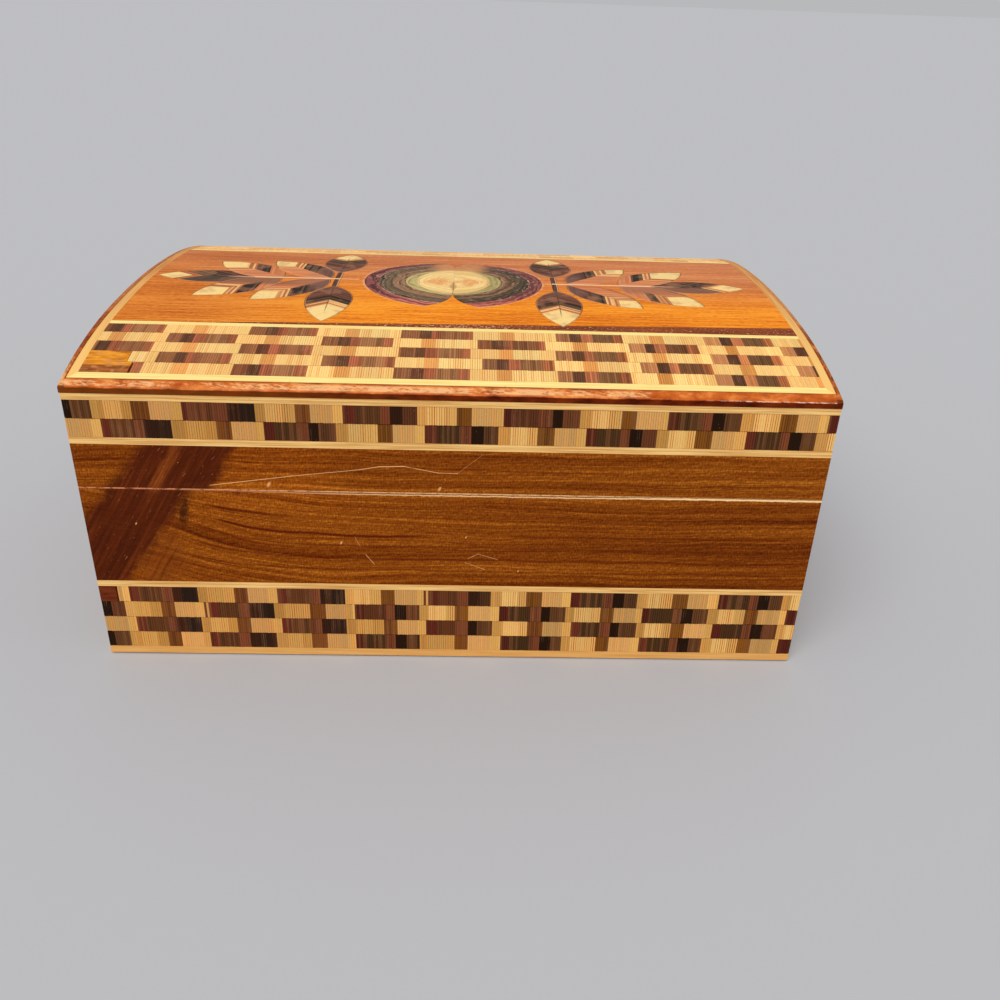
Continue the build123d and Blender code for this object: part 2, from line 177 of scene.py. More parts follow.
class Finish(Nodes):
    """Material of one finish, with the places of the box in millimetres."""

    def __init__(self, name, roughness=0.4, coat=0.12, coat_roughness=0.14, metallic=0.0, specular=0.0):
        self.material = bpy.data.materials.new(name)
        self.material.use_nodes = True
        super().__init__(self.material.node_tree)
        self.surface = self.tree.nodes["Principled BSDF"]
        constants = {"Roughness": roughness, "Coat Weight": coat, "Coat Roughness": coat_roughness}
        constants |= {"Metallic": metallic, "Specular IOR Level": specular}
        for socket, number in constants.items():
            self.surface.inputs[socket].default_value = number
        place = self.add("ShaderNodeTexCoord", {}, [], "Object")
        self.place = self.add("ShaderNodeVectorMath", {"operation": "SCALE"}, {0: place, "Scale": 1 / MM})
        self.x, self.y, self.z = self.split(self.place)

    def attribute(self, name):
        """Number that the mesh keeps for its points or faces."""
        return self.add("ShaderNodeAttribute", {"attribute_name": name}, [], "Fac")

    def noise(self, vector, scale, detail=2.0, roughness=0.5):
        sockets = {"Vector": vector, "Scale": scale, "Detail": detail, "Roughness": roughness}
        return self.add("ShaderNodeTexNoise", {}, sockets)

    def grain(self, x, y, z, detail=2.0, roughness=0.5):
        """Noise of three numbers, drawn out where they grow slowly."""
        return self.noise(self.vector(x, y, z), 1.0, detail, roughness)

    def ramp(self, value, stops, interpolation="LINEAR"):
        return self.add("ShaderNodeValToRGB", {"stops": stops, "interpolation": interpolation}, [value])

    def brightness(self, colour):
        return self.add("ShaderNodeRGBToBW", {}, [colour])

    def rise(self, value, low, high):
        """0 under low, 1 over high and smooth between."""
        sockets = {"Value": value, "From Min": low, "From Max": high}
        return self.add("ShaderNodeMapRange", {"interpolation_type": "SMOOTHSTEP"}, sockets)

    def mix(self, mask, under, over):
        return self.add("ShaderNodeMix", {"data_type": "RGBA"}, {0: mask, 6: under, 7: over}, 2)

    def cover(self, colour, *layers):
        """Colour with others over it in turn, each by its mask."""
        for mask, over in layers:
            colour = self.mix(mask, colour, over)
        return colour

    def shade(self, colour, amount):
        """Colour made darker or lighter by a factor."""
        return self.add("ShaderNodeVectorMath", {"operation": "SCALE"}, {0: colour, "Scale": amount})

    def finish(self, colour, height=None, depth=0.0, strength=0.4, roughness=None):
        """Links what changes over the surface, with a bump as deep as given, and gives the material."""
        links = {"Base Color": colour, "Roughness": roughness}
        if height:
            sockets = {"Strength": strength, "Distance": depth * MM, "Height": height}
            links["Normal"] = self.add("ShaderNodeBump", {}, sockets)
        for socket, value in links.items():
            if value is not None:
                self.tree.links.new(value.socket, self.surface.inputs[socket])
        return self.material


# Camera of the photograph, with its place in metres and its turns in radians
CAMERA_PLACE = Vector((0.0029, -0.2240, 0.1301))
LENS = 34.02
SENSOR = 36.0
NEAREST_SEEN = 0.01
YAW = -0.037
PITCH = 0.490
ROLL = 0.035


def stand_camera():
    """Camera that looks at the box as the photograph does."""
    level_right = Vector((cos(YAW), sin(YAW), 0))
    level_ahead = Vector((-sin(YAW), cos(YAW), 0))
    ahead = cos(PITCH) * level_ahead - sin(PITCH) * Vector((0, 0, 1))
    level_down = -sin(PITCH) * level_ahead - cos(PITCH) * Vector((0, 0, 1))
    right = cos(ROLL) * level_right - sin(ROLL) * level_down
    down = sin(ROLL) * level_right + cos(ROLL) * level_down
    turn = Matrix((right, -down, -ahead)).transposed().to_4x4()
    lens = bpy.data.cameras.new("camera")
    lens.lens = LENS
    lens.sensor_width = SENSOR
    lens.clip_start = NEAREST_SEEN
    camera = bpy.data.objects.new("camera", lens)
    camera.matrix_world = Matrix.Translation(CAMERA_PLACE) @ turn
    bpy.context.scene.collection.objects.link(camera)
    bpy.context.scene.camera = camera


stand_camera()


def on_arch(along, out):
    """Depth and height of points that lie along the arch from the ridge and out from its surface."""
    crown_length = CROWN_RADIUS * CROWN_ANGLE
    side = np.sign(along)
    beyond = np.abs(along) - crown_length
    on_crown = beyond <= 0
    turn = np.where(on_crown, along / CROWN_RADIUS, side * (CROWN_ANGLE + beyond / SHOULDER_RADIUS))
    radius = np.where(on_crown, CROWN_RADIUS, SHOULDER_RADIUS) + out
    y = np.where(on_crown, 0, side * SHOULDER_Y) + radius * np.sin(turn)
    z = np.where(on_crown, CROWN_Z, SHOULDER_Z) + radius * np.cos(turn)
    return y, z


# Straw bands: every straw is a strip of its own, a little narrower, shorter or thinner by chance
STRAW_WIDTH = 0.48
STRAW_PERIOD = 31.35
STRAW_SHIFT = 15.6
BLOCK_WANDER = 0.9
BLOCK_SHARE = 0.446
STRAW_SPARE = 0.03
STRIP_FILLS = (0.97, 0.985)
EDGE_START = 0.4
EDGE_DROP = 0.08
BLOCK_SEED_STEP = 3
STRAW_SEED_STEP = 5
UNEVEN_SHARES = {11: 0.05, 13: 0.03, 17: 0.1}
BAND_SIZES = ["Length", "Rows", "Row Height", "Straw Width", "Thickness", "Period", "Phase", "Shift"]
BAND_SIZES += ["Wander", "Block Share", "Patch First Row", "Patch Last Row", "Patch End", "Seed"]


def straw_band_tree():
    """Rows of split straws on a flat band, each with its place in the pattern."""
    tree = bpy.data.node_groups.new("straw_band", "GeometryNodeTree")
    for size in BAND_SIZES:
        tree.interface.new_socket(size, in_out="INPUT", socket_type="NodeSocketFloat")
    tree.interface.new_socket("Material", in_out="INPUT", socket_type="NodeSocketMaterial")
    tree.interface.new_socket("Geometry", in_out="OUTPUT", socket_type="NodeSocketGeometry")
    nodes = Nodes(tree)
    group_in = tree.nodes.new("NodeGroupInput")
    given = {socket.name: Value(nodes, socket) for socket in group_in.outputs if socket.name}
    length, rows, row_height = given["Length"], given["Rows"], given["Row Height"]
    width, thick, seed = given["Straw Width"], given["Thickness"], given["Seed"]

    def stored(geometry, name, value):
        """Geometry whose points keep a number under a name."""
        sockets = {"Geometry": geometry, "Name": name, "Value": value}
        settings = {"data_type": "FLOAT", "domain": "POINT"}
        return nodes.add("GeometryNodeStoreNamedAttribute", settings, sockets)

    count = (length / width).math("ROUND")
    pitch = length / count
    reach = {"Size X": length - pitch, "Size Y": (rows - 1) * row_height}
    spots = nodes.add("GeometryNodeMeshGrid", {}, {**reach, "Vertices X": count, "Vertices Y": rows})
    x, y, _ = nodes.split(nodes.add("GeometryNodeInputPosition", {}, []))
    row = ((rows - 1) / 2 - y / row_height).math("ROUND")
    patch = (x < given["Patch End"]) * (row > given["Patch First Row"] - 1)
    patch = patch * (row < given["Patch Last Row"] + 1)
    sockets = {"Geometry": spots, "Selection": patch}
    points = nodes.add("GeometryNodeDeleteGeometry", {"domain": "POINT"}, sockets)

    odd = row.math("MODULO", 2)
    along = (x - given["Phase"] - odd * given["Shift"]) / given["Period"]
    light = along.fraction() > given["Block Share"]
    block = along.floor() * 2 + light
    wander = (nodes.chance(block, row, seed) - 0.5) * given["Wander"] / given["Period"]
    straw = (x / pitch).floor()
    points = stored(points, "pattern_place", (along + wander + 10).fraction())
    points = stored(points, "block_chance", nodes.chance(block, row, seed + BLOCK_SEED_STEP))
    points = stored(points, "straw_chance", nodes.chance(straw, row, seed + STRAW_SEED_STEP))
    points = stored(points, "band_place", x / length + 0.5)

    size = nodes.vector(pitch * STRIP_FILLS[0], row_height * STRIP_FILLS[1], thick)
    sockets = {"Size": size, "Vertices X": 4, "Vertices Y": 2, "Vertices Z": 2}
    strip = nodes.add("GeometryNodeMeshCube", {}, sockets)
    strip_x, _, strip_z = nodes.split(nodes.add("GeometryNodeInputPosition", {}, []))
    edge = (abs(strip_x) > pitch * EDGE_START) * (strip_z > 0)
    offset = nodes.vector(0, 0, thick * 0.5 - edge * thick * EDGE_DROP)
    strip = nodes.add("GeometryNodeSetPosition", {}, {"Geometry": strip, "Offset": offset})
    strip = stored(strip, "straw_side", abs(strip_x) * 2 / pitch)

    scale = [1 - nodes.chance(straw, row, seed + step) * share for step, share in UNEVEN_SHARES.items()]
    sockets = {"Points": points, "Instance": strip, "Scale": nodes.vector(*scale)}
    laid = nodes.add("GeometryNodeInstanceOnPoints", {}, sockets)
    solid = nodes.add("GeometryNodeRealizeInstances", {}, [laid])
    dyed = nodes.add("GeometryNodeSetMaterial", {}, {"Geometry": solid, "Material": given["Material"]})
    group_out = tree.nodes.new("NodeGroupOutput")
    tree.links.new(dyed.socket, group_out.inputs["Geometry"])
    return tree


def plain_mesh(tree, settings):
    """Mesh that a tree gives for its settings, with nothing left live."""
    holder = bpy.data.objects.new("holder", bpy.data.meshes.new("holder"))
    bpy.context.scene.collection.objects.link(holder)
    modifier = holder.modifiers.new("tree", "NODES")
    modifier.node_group = tree
    for item in tree.interface.items_tree:
        if item.in_out == "INPUT" and item.name in settings:
            modifier[item.identifier] = settings[item.name]
    bpy.context.view_layer.update()
    evaluated = holder.evaluated_get(bpy.context.evaluated_depsgraph_get())
    mesh = bpy.data.meshes.new_from_object(evaluated)
    holder.modifiers.remove(modifier)
    bpy.data.objects.remove(holder)
    return mesh


def move_points(mesh, moved):
    """Gives a mesh in millimetres the place that a function sets, in metres."""
    flat = np.empty(len(mesh.vertices) * 3)
    mesh.vertices.foreach_get("co", flat)
    points = moved(flat.reshape(-1, 3)) * MM
    mesh.vertices.foreach_set("co", points.ravel())
    mesh.update()


def on_wall(points, side, middle):
    """Moves a flat band onto one wall of the box."""
    across, up, out = points.T
    low_y = HALF_DEPTH - SKIN + out
    low_x = HALF_WIDTH - SKIN + out
    places = {
        "front": (across, -low_y),
        "back": (-across, low_y),
        "left": (-low_x, -across),
        "right": (low_x, across),
    }
    return np.column_stack((*places[side], middle + up))


def on_top(points, side="front"):
    """Moves a flat band onto the front or back slope of the lid."""
    across, up, out = points.T
    y, z = on_arch(up - TOP_BAND_MIDDLE, out - TOP_SKIN)
    if side == "front":
        return np.column_stack((across, y, z))
    return np.column_stack((-across, -y, z))


def new_piece(name, mesh, body, replaced, material=None):
    """Finished piece that rides on a body and stands for its CAD nodes."""
    if material:
        mesh.materials.clear()
        mesh.materials.append(material)
    piece = bpy.data.objects.new(name, mesh)
    mesh.name = name
    bpy.context.scene.collection.objects.link(piece)
    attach(piece, body)
    if replaced:
        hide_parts(*replaced)


def joined(meshes):
    """One mesh from several, with their attributes."""
    parts = [bpy.data.objects.new("part", mesh) for mesh in meshes]
    for part in parts:
        bpy.context.scene.collection.objects.link(part)
    chosen = {"selected_editable_objects": parts, "selected_objects": parts}
    with bpy.context.temp_override(active_object=parts[0], object=parts[0], **chosen):
        bpy.ops.object.join()
    mesh = parts[0].data
    bpy.data.objects.remove(parts[0])
    return mesh


def dress(material, *names):
    """Gives CAD nodes a finish."""
    for name in names:
        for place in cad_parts[name].material_slots:
            place.material = material


# Dyed strips in their order along a row: width, colour at the left end of a band and at its right end
WALL_ORDER = [
    (2.0, dye(104, 42, 28), dye(88, 34, 22)),
    (4.7, dye(102, 58, 30), dye(72, 46, 22)),
    (2.0, dye(124, 66, 40), dye(124, 66, 38)),
    (2.3, dye(54, 28, 16), dye(38, 20, 8)),
    (3.0, dye(44, 28, 18), dye(98, 60, 32)),
    (2.2, dye(190, 134, 66), dye(198, 144, 72)),
    (3.6, dye(212, 156, 80), dye(236, 186, 108)),
    (2.0, dye(200, 142, 68), dye(222, 170, 92)),
    (3.1, dye(124, 68, 24), dye(132, 78, 24)),
    (4.6, dye(212, 154, 90), dye(204, 154, 90)),
    (1.85, dye(212, 156, 80), dye(226, 172, 92)),
]
TOP_ORDER = [
    (3.2, dye(152, 96, 60), dye(196, 130, 82)),
    (2.3, dye(102, 64, 44), dye(92, 58, 38)),
    (2.2, dye(178, 98, 66), dye(200, 118, 74)),
    (4.6, dye(170, 114, 72), dye(118, 80, 48)),
    (2.0, dye(184, 106, 68), dye(190, 108, 62)),
    (5.6, dye(250, 202, 124), dye(252, 206, 126)),
    (2.8, dye(228, 158, 88), dye(212, 140, 68)),
    (6.1, dye(255, 212, 134), dye(254, 212, 132)),
    (2.77, dye(250, 204, 124), dye(252, 208, 126)),
]
BACK_ORDER = [
    (10.0, dye(250, 204, 138), dye(248, 196, 130)),
    (9.0, dye(236, 178, 112), dye(240, 184, 118)),
    (12.57, dye(250, 206, 140), dye(250, 206, 140)),
]
# Strips between these numbers have brown gaps between their straws
WALL_STRIPED = (5.5, 7.5)
TOP_STRIPED = (4.5, 9.5)
ODD_LIGHT = dye(222, 146, 70)
WARM_LIGHT = dye(238, 172, 98)
ODD_DARK = dye(140, 88, 52)
WARM_DARK = dye(128, 62, 38)
DEEP_DARK = dye(62, 38, 24)
GAP_BROWN = dye(146, 80, 34)
WORN_STRAW = dye(216, 166, 126)
STRAW_DUST = dye(240, 206, 160)
FIRST_BLOCK_END = 0.045
MOST_STRIPS = 20
BLOCK_CHANCES = 97
# Stretch past the right end of a band, which ends at 1
NOWHERE = (2.0, 3.0)


def straw_finish(name, order, striped, lines, worn, calm, fade, varied):
    """Varnished straw strips whose dye follows their place in the pattern.

    lines and worn are how brown and how rubbed the gaps between straws are. calm and fade are where along
    a band these gaps end and the dyes turn into those of its right end, earlier or later by varied.
    """
    straw = Finish(name)
    rise, mix, noise = straw.rise, straw.mix, straw.noise
    place = straw.attribute("pattern_place")
    along = straw.attribute("band_place")
    block = straw.attribute("block_chance")
    chance = straw.attribute("straw_chance")
    side = straw.attribute("straw_side")
    widths = [width for width, _, _ in order]
    starts = [sum(widths[:number]) / sum(widths) for number in range(len(widths))]

    def by_strip(colours):
        """The colour of the strip that a straw belongs to."""
        return straw.ramp(place, list(zip(starts, colours)), "CONSTANT")

    left, right = (by_strip([strip[end] for strip in order]) for end in (1, 2))
    faded = along + (block - 0.5 + (along < FIRST_BLOCK_END) * 2) * varied
    colour = mix(rise(faded, *fade), left, right)
    numbers = by_strip([(number / MOST_STRIPS,) * 3 + (1.0,) for number in range(len(order))])
    strip = straw.brightness(numbers) * MOST_STRIPS
    strip_number = strip.math("ROUND")
    block_number = (block * BLOCK_CHANCES).floor()
    strip_chance = straw.chance(strip_number, block_number, 2)
    strip_other = straw.chance(strip_number, block_number, 8)

    grey = straw.brightness(colour)
    light = rise(grey, 0.2, 0.3)
    dark = (1 - light) * rise(grey, 0.008, 0.03)
    tinted = straw.cover(
        colour,
        (rise(chance, 0.65, 0.85) * light * 0.4, ODD_LIGHT),
        (rise(strip_other, 0.5, 0.9) * light * 0.35, WARM_LIGHT),
        (rise(chance, 0.4, 0.15) * dark * 0.45, ODD_DARK),
        (rise(strip_other, 0.6, 0.9) * dark * 0.35, WARM_DARK),
        (rise(chance, 0.75, 0.9) * dark * 0.45, DEEP_DARK),
    )
    lively = 0.55 + along * 0.45
    by_straw = (chance - 0.5) * (0.2 + dark * (worn * 0.85 - 0.05)) * lively
    tone = 1.0 + by_straw + (strip_chance - 0.5) * 0.24
    open_joint = (strip > striped[0]) * (strip < striped[1]) * 0.75 + 0.25
    open_joint = open_joint * (1 - rise(along, *calm))
    gap = rise(side, 0.5, 0.85) * rise(chance, 0.45, 0.65) * lively
    fibre = noise(straw.place, 1.6, 3.0, 0.6)
    tinted = mix(gap * light * open_joint * lines, tinted, GAP_BROWN)
    tone = tone * (1 - gap * dark * 0.5) * (0.9 + fibre * 0.2)
    # Painted shade: on the lid's wall bands the straw darkens towards the left end of each band
    on_lid_wall = rise(straw.z, 18.0, 50.0) * rise(straw.z, 61.5, 60.5)
    tone = tone * (1.04 - on_lid_wall * (1 - along) * 0.1)
    scuffed = rise(noise(straw.place, 0.16, 3.0, 0.6), 0.48, 0.6) * (1 - along * 0.5)
    pale_gap = rise(side, 0.7, 0.95) * rise(chance, 0.15 + worn * 0.4, 0.05 + worn * 0.35)
    dust = rise(noise(straw.place, 2.6, 1.0), 0.77, 0.8)
    tinted = straw.cover(
        straw.shade(tinted, tone),
        (pale_gap * (1 - light) * scuffed * worn, WORN_STRAW),
        (dust * worn * 0.7, STRAW_DUST),
    )
    return straw.finish(tinted, fibre, 0.02)


wall_look = {"lines": 0.95, "worn": 0.35, "calm": NOWHERE, "fade": (0.2, 0.6), "varied": 0.4}
top_look = {"lines": 0.5, "worn": 0.8, "calm": (0.76, 0.95), "fade": (0.45, 0.9), "varied": 0}
back_look = {"lines": 0.3, "worn": 0.3, "calm": NOWHERE, "fade": (0.2, 0.6), "varied": 0}
wall_straw = straw_finish("wall_straw", WALL_ORDER, WALL_STRIPED, **wall_look)
top_straw = straw_finish("top_straw", TOP_ORDER, TOP_STRIPED, **top_look)
back_straw = straw_finish("back_straw", BACK_ORDER, TOP_STRIPED, **back_look)
band_tree = straw_band_tree()

# First row, last row and right end of a wooden patch in a band
NO_PATCH = (99, 99, -99)
FRONT_PATCH = (0, 0, -71.2)
# Right end of the patch in each mended row of the lid, counted from the field
TOP_PATCHES = {3: -64.0, 4: -62.9}

# Rows of the bands, where their patterns start, and the seeds of their chances
BASE_ROWS = 4
LID_ROWS = 2
TOP_ROWS = 5
BASE_PHASES = {"front": -68.6, "back": -66.0, "left": -48.2, "right": -50.0}
LID_PHASES = {"front": -52.7, "back": -52.0, "left": -33.0, "right": -35.0}
TOP_PERIOD = 31.57
TOP_WANDER = 0.4
TOP_PHASE = -43.5
BACK_PHASE = -40.0
ROW_LAGS = (0.4, 0.35, 0.1, 1.0, 0.0)
ROW_STRETCH = (0.003, -0.004, 0.003, 0.008, 0.0)
BASE_SEED = 1
LID_SEED = 101
BACK_SEED = 204
TOP_SEED = 205
WALL_SEED_STEP = 20
ROW_SEED_STEP = 7


def straw_band(length, rows, phase, seed, material, patch=NO_PATCH, period=STRAW_PERIOD, wander=BLOCK_WANDER):
    """Flat band of straws, as a plain mesh."""
    sizes = (length, rows, STRAW_ROW, STRAW_WIDTH, SKIN - STRAW_SPARE, period, phase, STRAW_SHIFT)
    sizes += (wander, BLOCK_SHARE, *patch, seed)
    settings = {name: float(size) for name, size in zip(BAND_SIZES, sizes)}
    return plain_mesh(band_tree, {**settings, "Material": material})


def wall_bands(rows, middle, phases, seed, patch):
    """Straw bands of the four walls at one height."""
    meshes = []
    for number, side in enumerate(SIDES):
        length = 2 * HALF_WIDTH if side in LONG_SIDES else 2 * (HALF_DEPTH - SKIN)
        cut = patch if side == "front" else NO_PATCH
        mesh = straw_band(length, rows, phases[side], seed + number * WALL_SEED_STEP, wall_straw, cut)
        move_points(mesh, lambda points: on_wall(points, side, middle))
        meshes.append(mesh)
    return meshes


def top_bands():
    """Straw bands on the two slopes of the lid, the front one row by row."""
    meshes = []
    for row in range(TOP_ROWS):
        patch = (0, 0, TOP_PATCHES[row]) if row in TOP_PATCHES else NO_PATCH
        phase = TOP_PHASE + row % 2 * STRAW_SHIFT + ROW_LAGS[row]
        period = TOP_PERIOD * (1 + ROW_STRETCH[row])
        seed = TOP_SEED + row * ROW_SEED_STEP
        mesh = straw_band(2 * FIELD_HALF_WIDTH, 1, phase, seed, top_straw, patch, period, TOP_WANDER)
        row_middle = np.array((0, ((TOP_ROWS - 1) / 2 - row) * STRAW_ROW, 0))
        move_points(mesh, lambda points: on_top(points + row_middle))
        meshes.append(mesh)
    back = (BACK_PHASE, BACK_SEED, back_straw, NO_PATCH, TOP_PERIOD, TOP_WANDER)
    mesh = straw_band(2 * FIELD_HALF_WIDTH, TOP_ROWS, *back)
    move_points(mesh, lambda points: on_top(points, "back"))
    return meshes + [mesh]


base_bands = joined(wall_bands(BASE_ROWS, BASE_BAND_MIDDLE, BASE_PHASES, BASE_SEED, FRONT_PATCH))
new_piece("base_straw_bands", base_bands, "base", [f"base_{s}_band" for s in SIDES])
lid_bands = joined(wall_bands(LID_ROWS, LID_BAND_MIDDLE, LID_PHASES, LID_SEED, NO_PATCH) + top_bands())
lid_replaced = [f"lid_{s}_band" for s in SIDES] + ["lid_top_front_band", "lid_top_back_band"]
new_piece("lid_straw_bands", lid_bands, "lid", lid_replaced)

# Wooden patches that once replaced lost straws
SLAB_STEPS = 5
SLAB_SPARE = 0.02
ROW_GAP = 0.03


def slab(spots, thickness, place):
    """Closed slab over a rectangle of the flat band, moved to its place on the box."""
    (x0, y0), (x1, y1) = spots
    steps = SLAB_STEPS
    columns = [x0 + (x1 - x0) * n / (steps - 1) for n in range(steps)]
    points = [(x, y, z) for z in (0, thickness) for y in (y0, y1) for x in columns]
    up = 2 * steps
    faces = []
    for a in range(steps - 1):
        b = a + 1
        c, d = b + steps, a + steps
        faces += [(a, d, c, b), (a + up, b + up, c + up, d + up)]
        faces += [(a, b, b + up, a + up), (d, d + up, c + up, c)]
    last = steps - 1
    faces += [(0, up, steps + up, steps), (last, last + steps, last + steps + up, last + up)]
    mesh = bpy.data.meshes.new("slab")
    mesh.from_pydata(list(map(tuple, place(np.array(points)) * MM)), [], faces)
    return mesh


def patch_finish():
    """Wood of the patches: orange and brown on the lid, red on the front."""
    patch = Finish("patch_wood")
    rise = patch.rise
    grain = patch.grain(patch.x * 0.3, patch.y * 1.1, patch.z * 1.1, 4.0)
    orange = patch.ramp(grain, [(0.3, dye(176, 96, 30)), (0.5, dye(226, 142, 34)), (0.64, dye(240, 164, 60))])
    brown = patch.ramp(grain, [(0.3, dye(118, 62, 26)), (0.62, dye(176, 102, 50))])
    red = patch.ramp(grain, [(0.3, dye(84, 30, 10)), (0.62, dye(116, 50, 22))])
    rubbed = patch.noise(patch.place, 0.7, 3.0, 0.6)
    top = patch.mix(rise(patch.y, -49.1, -48.6), brown, orange)
    top = patch.mix(rise(rubbed, 0.54, 0.66) * 0.6, top, dye(206, 138, 88))
    return patch.finish(patch.mix(rise(patch.z, 59.0, 59.6), red, top), grain, 0.05, 0.5)


def row_slab(low, patch_end, start, thickness, place):
    """Slab that fills one row of straws from the start of its band to the end of the patch."""
    spots = ((start, low + ROW_GAP), (patch_end - STRAW_WIDTH / 2, low + STRAW_ROW - ROW_GAP))
    return slab(spots, thickness - SLAB_SPARE, place)


patch_wood = patch_finish()
lid_patches = [
    row_slab((TOP_ROWS / 2 - 1 - row) * STRAW_ROW, patch_end, -FIELD_HALF_WIDTH, TOP_SKIN, on_top)
    for row, patch_end in TOP_PATCHES.items()
]
new_piece("lid_wood_patches", joined(lid_patches), "lid", [], patch_wood)


def on_base_front(points):
    """Moves a flat band onto the front of the base."""
    return on_wall(points, "front", BASE_BAND_MIDDLE)


base_patch = row_slab(STRAW_ROW, FRONT_PATCH[2], -HALF_WIDTH, SKIN, on_base_front)
new_piece("base_wood_patch", base_patch, "base", [], patch_wood)


# Inlaid leaves: each half is cut into straws that meet its midrib in a V
LEAF_STRAW = 0.5
OUTLINE_STEP = 1.3
OUTLINE_CUTS = 4
UPRIGHT_FACE = 0.3
LEAF_MIDDLE = 11.0
SPARE_STRAWS = 10
STRAW_KINDS = 5
MAROON_STRAW, PINK_STRAW, BLACK_STRAW, STRIPED_STRAW, PALE_STRAW = range(STRAW_KINDS)
LEAF_COLOURS = [dye(124, 76, 56), dye(226, 144, 94), dye(52, 40, 32), dye(184, 108, 66), dye(252, 218, 146)]
LEAF_OTHERS = [dye(84, 52, 40), dye(200, 112, 66), dye(98, 72, 52), dye(238, 180, 112), dye(246, 206, 132)]
THREAD_COLOUR = dye(250, 200, 160)


def leaf_bands(slant, base, black, striped, pale):
    """Slant of a leaf's straws, with the places along it where its dyes start."""
    return slant, [(0, base), (black, BLACK_STRAW), (striped, STRIPED_STRAW), (pale, PALE_STRAW)]


UPRIGHT = leaf_bands(0.7, MAROON_STRAW, 6.5, 9.8, 12.8)
FAR_UPRIGHT = leaf_bands(0.7, MAROON_STRAW, 8.5, 12.6, 14.6)
LEFT_INNER = leaf_bands(1.0, MAROON_STRAW, 5.0, 11.2, 15.1)
LEFT_OUTER = leaf_bands(1.0, PINK_STRAW, 5.3, 9.8, 13.1)
RIGHT_INNER = leaf_bands(1.0, MAROON_STRAW, 7.0, 11.6, 15.6)
RIGHT_OUTER = leaf_bands(1.0, PINK_STRAW, 6.4, 9.4, 13.0)
FAR_RIGHT_OUTER = leaf_bands(1.0, PINK_STRAW, 4.0, 8.2, 11.6)
END_LEAF = leaf_bands(1.4, MAROON_STRAW, 4.2, 12.0, 14.2)


def mirrored(start_x, start_y, heading, near, far=None):
    """A leaf behind the midrib of its spray and its mirror image in front."""
    return [(start_x, start_y, heading, far or near), (start_x, -start_y, -heading, near)]


# Where each leaf starts, the heading of its midrib in degrees, and its straws
UPRIGHT_START = 6.2
OFF_MIDRIB = 0.7
LEAVES = {
    "upright_leaves": [
        *mirrored(LEFT_STEM_X, UPRIGHT_START, 90, UPRIGHT, FAR_UPRIGHT),
        *mirrored(RIGHT_STEM_X, UPRIGHT_START, 90, UPRIGHT, FAR_UPRIGHT),
    ],
    "left_spray_leaves": [
        *mirrored(-31.0, OFF_MIDRIB, 134, LEFT_INNER),
        *mirrored(-42.3, OFF_MIDRIB, 141, LEFT_OUTER),
        (-48.8, 0.0, 180, END_LEAF),
    ],
    "right_spray_leaves": [
        *mirrored(25.6, OFF_MIDRIB, 46, RIGHT_INNER),
        *mirrored(38.2, OFF_MIDRIB, 39, RIGHT_OUTER, FAR_RIGHT_OUTER),
        (45.6, 0.0, 0, END_LEAF),
    ],
}


def straws_of_leaf(leaf_mesh, leaf, dice):
    """Cuts one leaf into straws and gives each its dye and chance."""
    start_x, start_y, heading, (slant, bands) = leaf
    turn = radians(heading)
    start = Vector((start_x, start_y, 0))
    ahead = Vector((cos(turn), sin(turn), 0))
    aside = Vector((-sin(turn), cos(turn), 0))

    def cut(geometry, point, across):
        """Cuts geometry along a plane and keeps both sides."""
        sides = {"clear_inner": False, "clear_outer": False}
        plane = {"plane_co": point * MM, "plane_no": across}
        return bmesh.ops.bisect_plane(leaf_mesh, geom=geometry, **plane, **sides)["geom"]

    for number in range(-OUTLINE_CUTS, OUTLINE_CUTS + 1):
        everything = leaf_mesh.verts[:] + leaf_mesh.edges[:] + leaf_mesh.faces[:]
        cut(everything, start + aside * number * OUTLINE_STEP, aside)
    dye_layer = leaf_mesh.faces.layers.float.get("leaf_dye")
    chance_layer = leaf_mesh.faces.layers.float.get("straw_chance")
    edge_layer = leaf_mesh.verts.layers.float.get("leaf_edge")
    step = LEAF_STRAW * (1 + slant**2) ** 0.5
    for side in (-1, 1):
        to_midrib = side * aside.y * ahead.y < -0.1
        half = [f for f in leaf_mesh.faces if side * (f.calc_center_median() - start * MM).dot(aside) > 0]
        across_straws = (ahead - side * slant * aside).normalized()
        reach = max((v.co / MM - start).dot(ahead) for f in half for v in f.verts)
        for number in range(1, int(reach / step) + 1):
            geometry = set(half) | {v for f in half for v in f.verts} | {e for f in half for e in f.edges}
            pieces = cut(list(geometry), start + ahead * step * number, across_straws)
            half = [f for f in pieces if isinstance(f, bmesh.types.BMFace)]
        chances = [dice.random() for _ in range(int(reach / step) + SPARE_STRAWS + 2)]
        for face in half:
            place = face.calc_center_median() / MM - start
            along = place.dot(ahead) - slant * abs(place.dot(aside))
            straw = int(along / step + SPARE_STRAWS)
            middle = (straw - SPARE_STRAWS + 0.5) * step
            band = [band for limit, band in bands if middle >= limit or limit == 0][-1]
            face[dye_layer] = PINK_STRAW if to_midrib and band in (MAROON_STRAW, BLACK_STRAW) else band
            face[chance_layer] = chances[min(straw, len(chances) - 1)]
    outline = [e for e in leaf_mesh.edges if any(abs(f.normal.z) < UPRIGHT_FACE for f in e.link_faces)]
    ends = np.array([[v.co.xy[:] for v in e.verts] for e in outline]) / MM
    runs = ends[:, 1] - ends[:, 0]
    squares = np.maximum((runs**2).sum(1), 1e-9)
    for vert in leaf_mesh.verts:
        spot = np.array(vert.co.xy[:]) / MM
        share = np.clip(((spot - ends[:, 0]) * runs).sum(1) / squares, 0, 1)
        nearest = ends[:, 0] + runs * share[:, None]
        vert[edge_layer] = float(np.sqrt(((spot - nearest) ** 2).sum(1).min()))


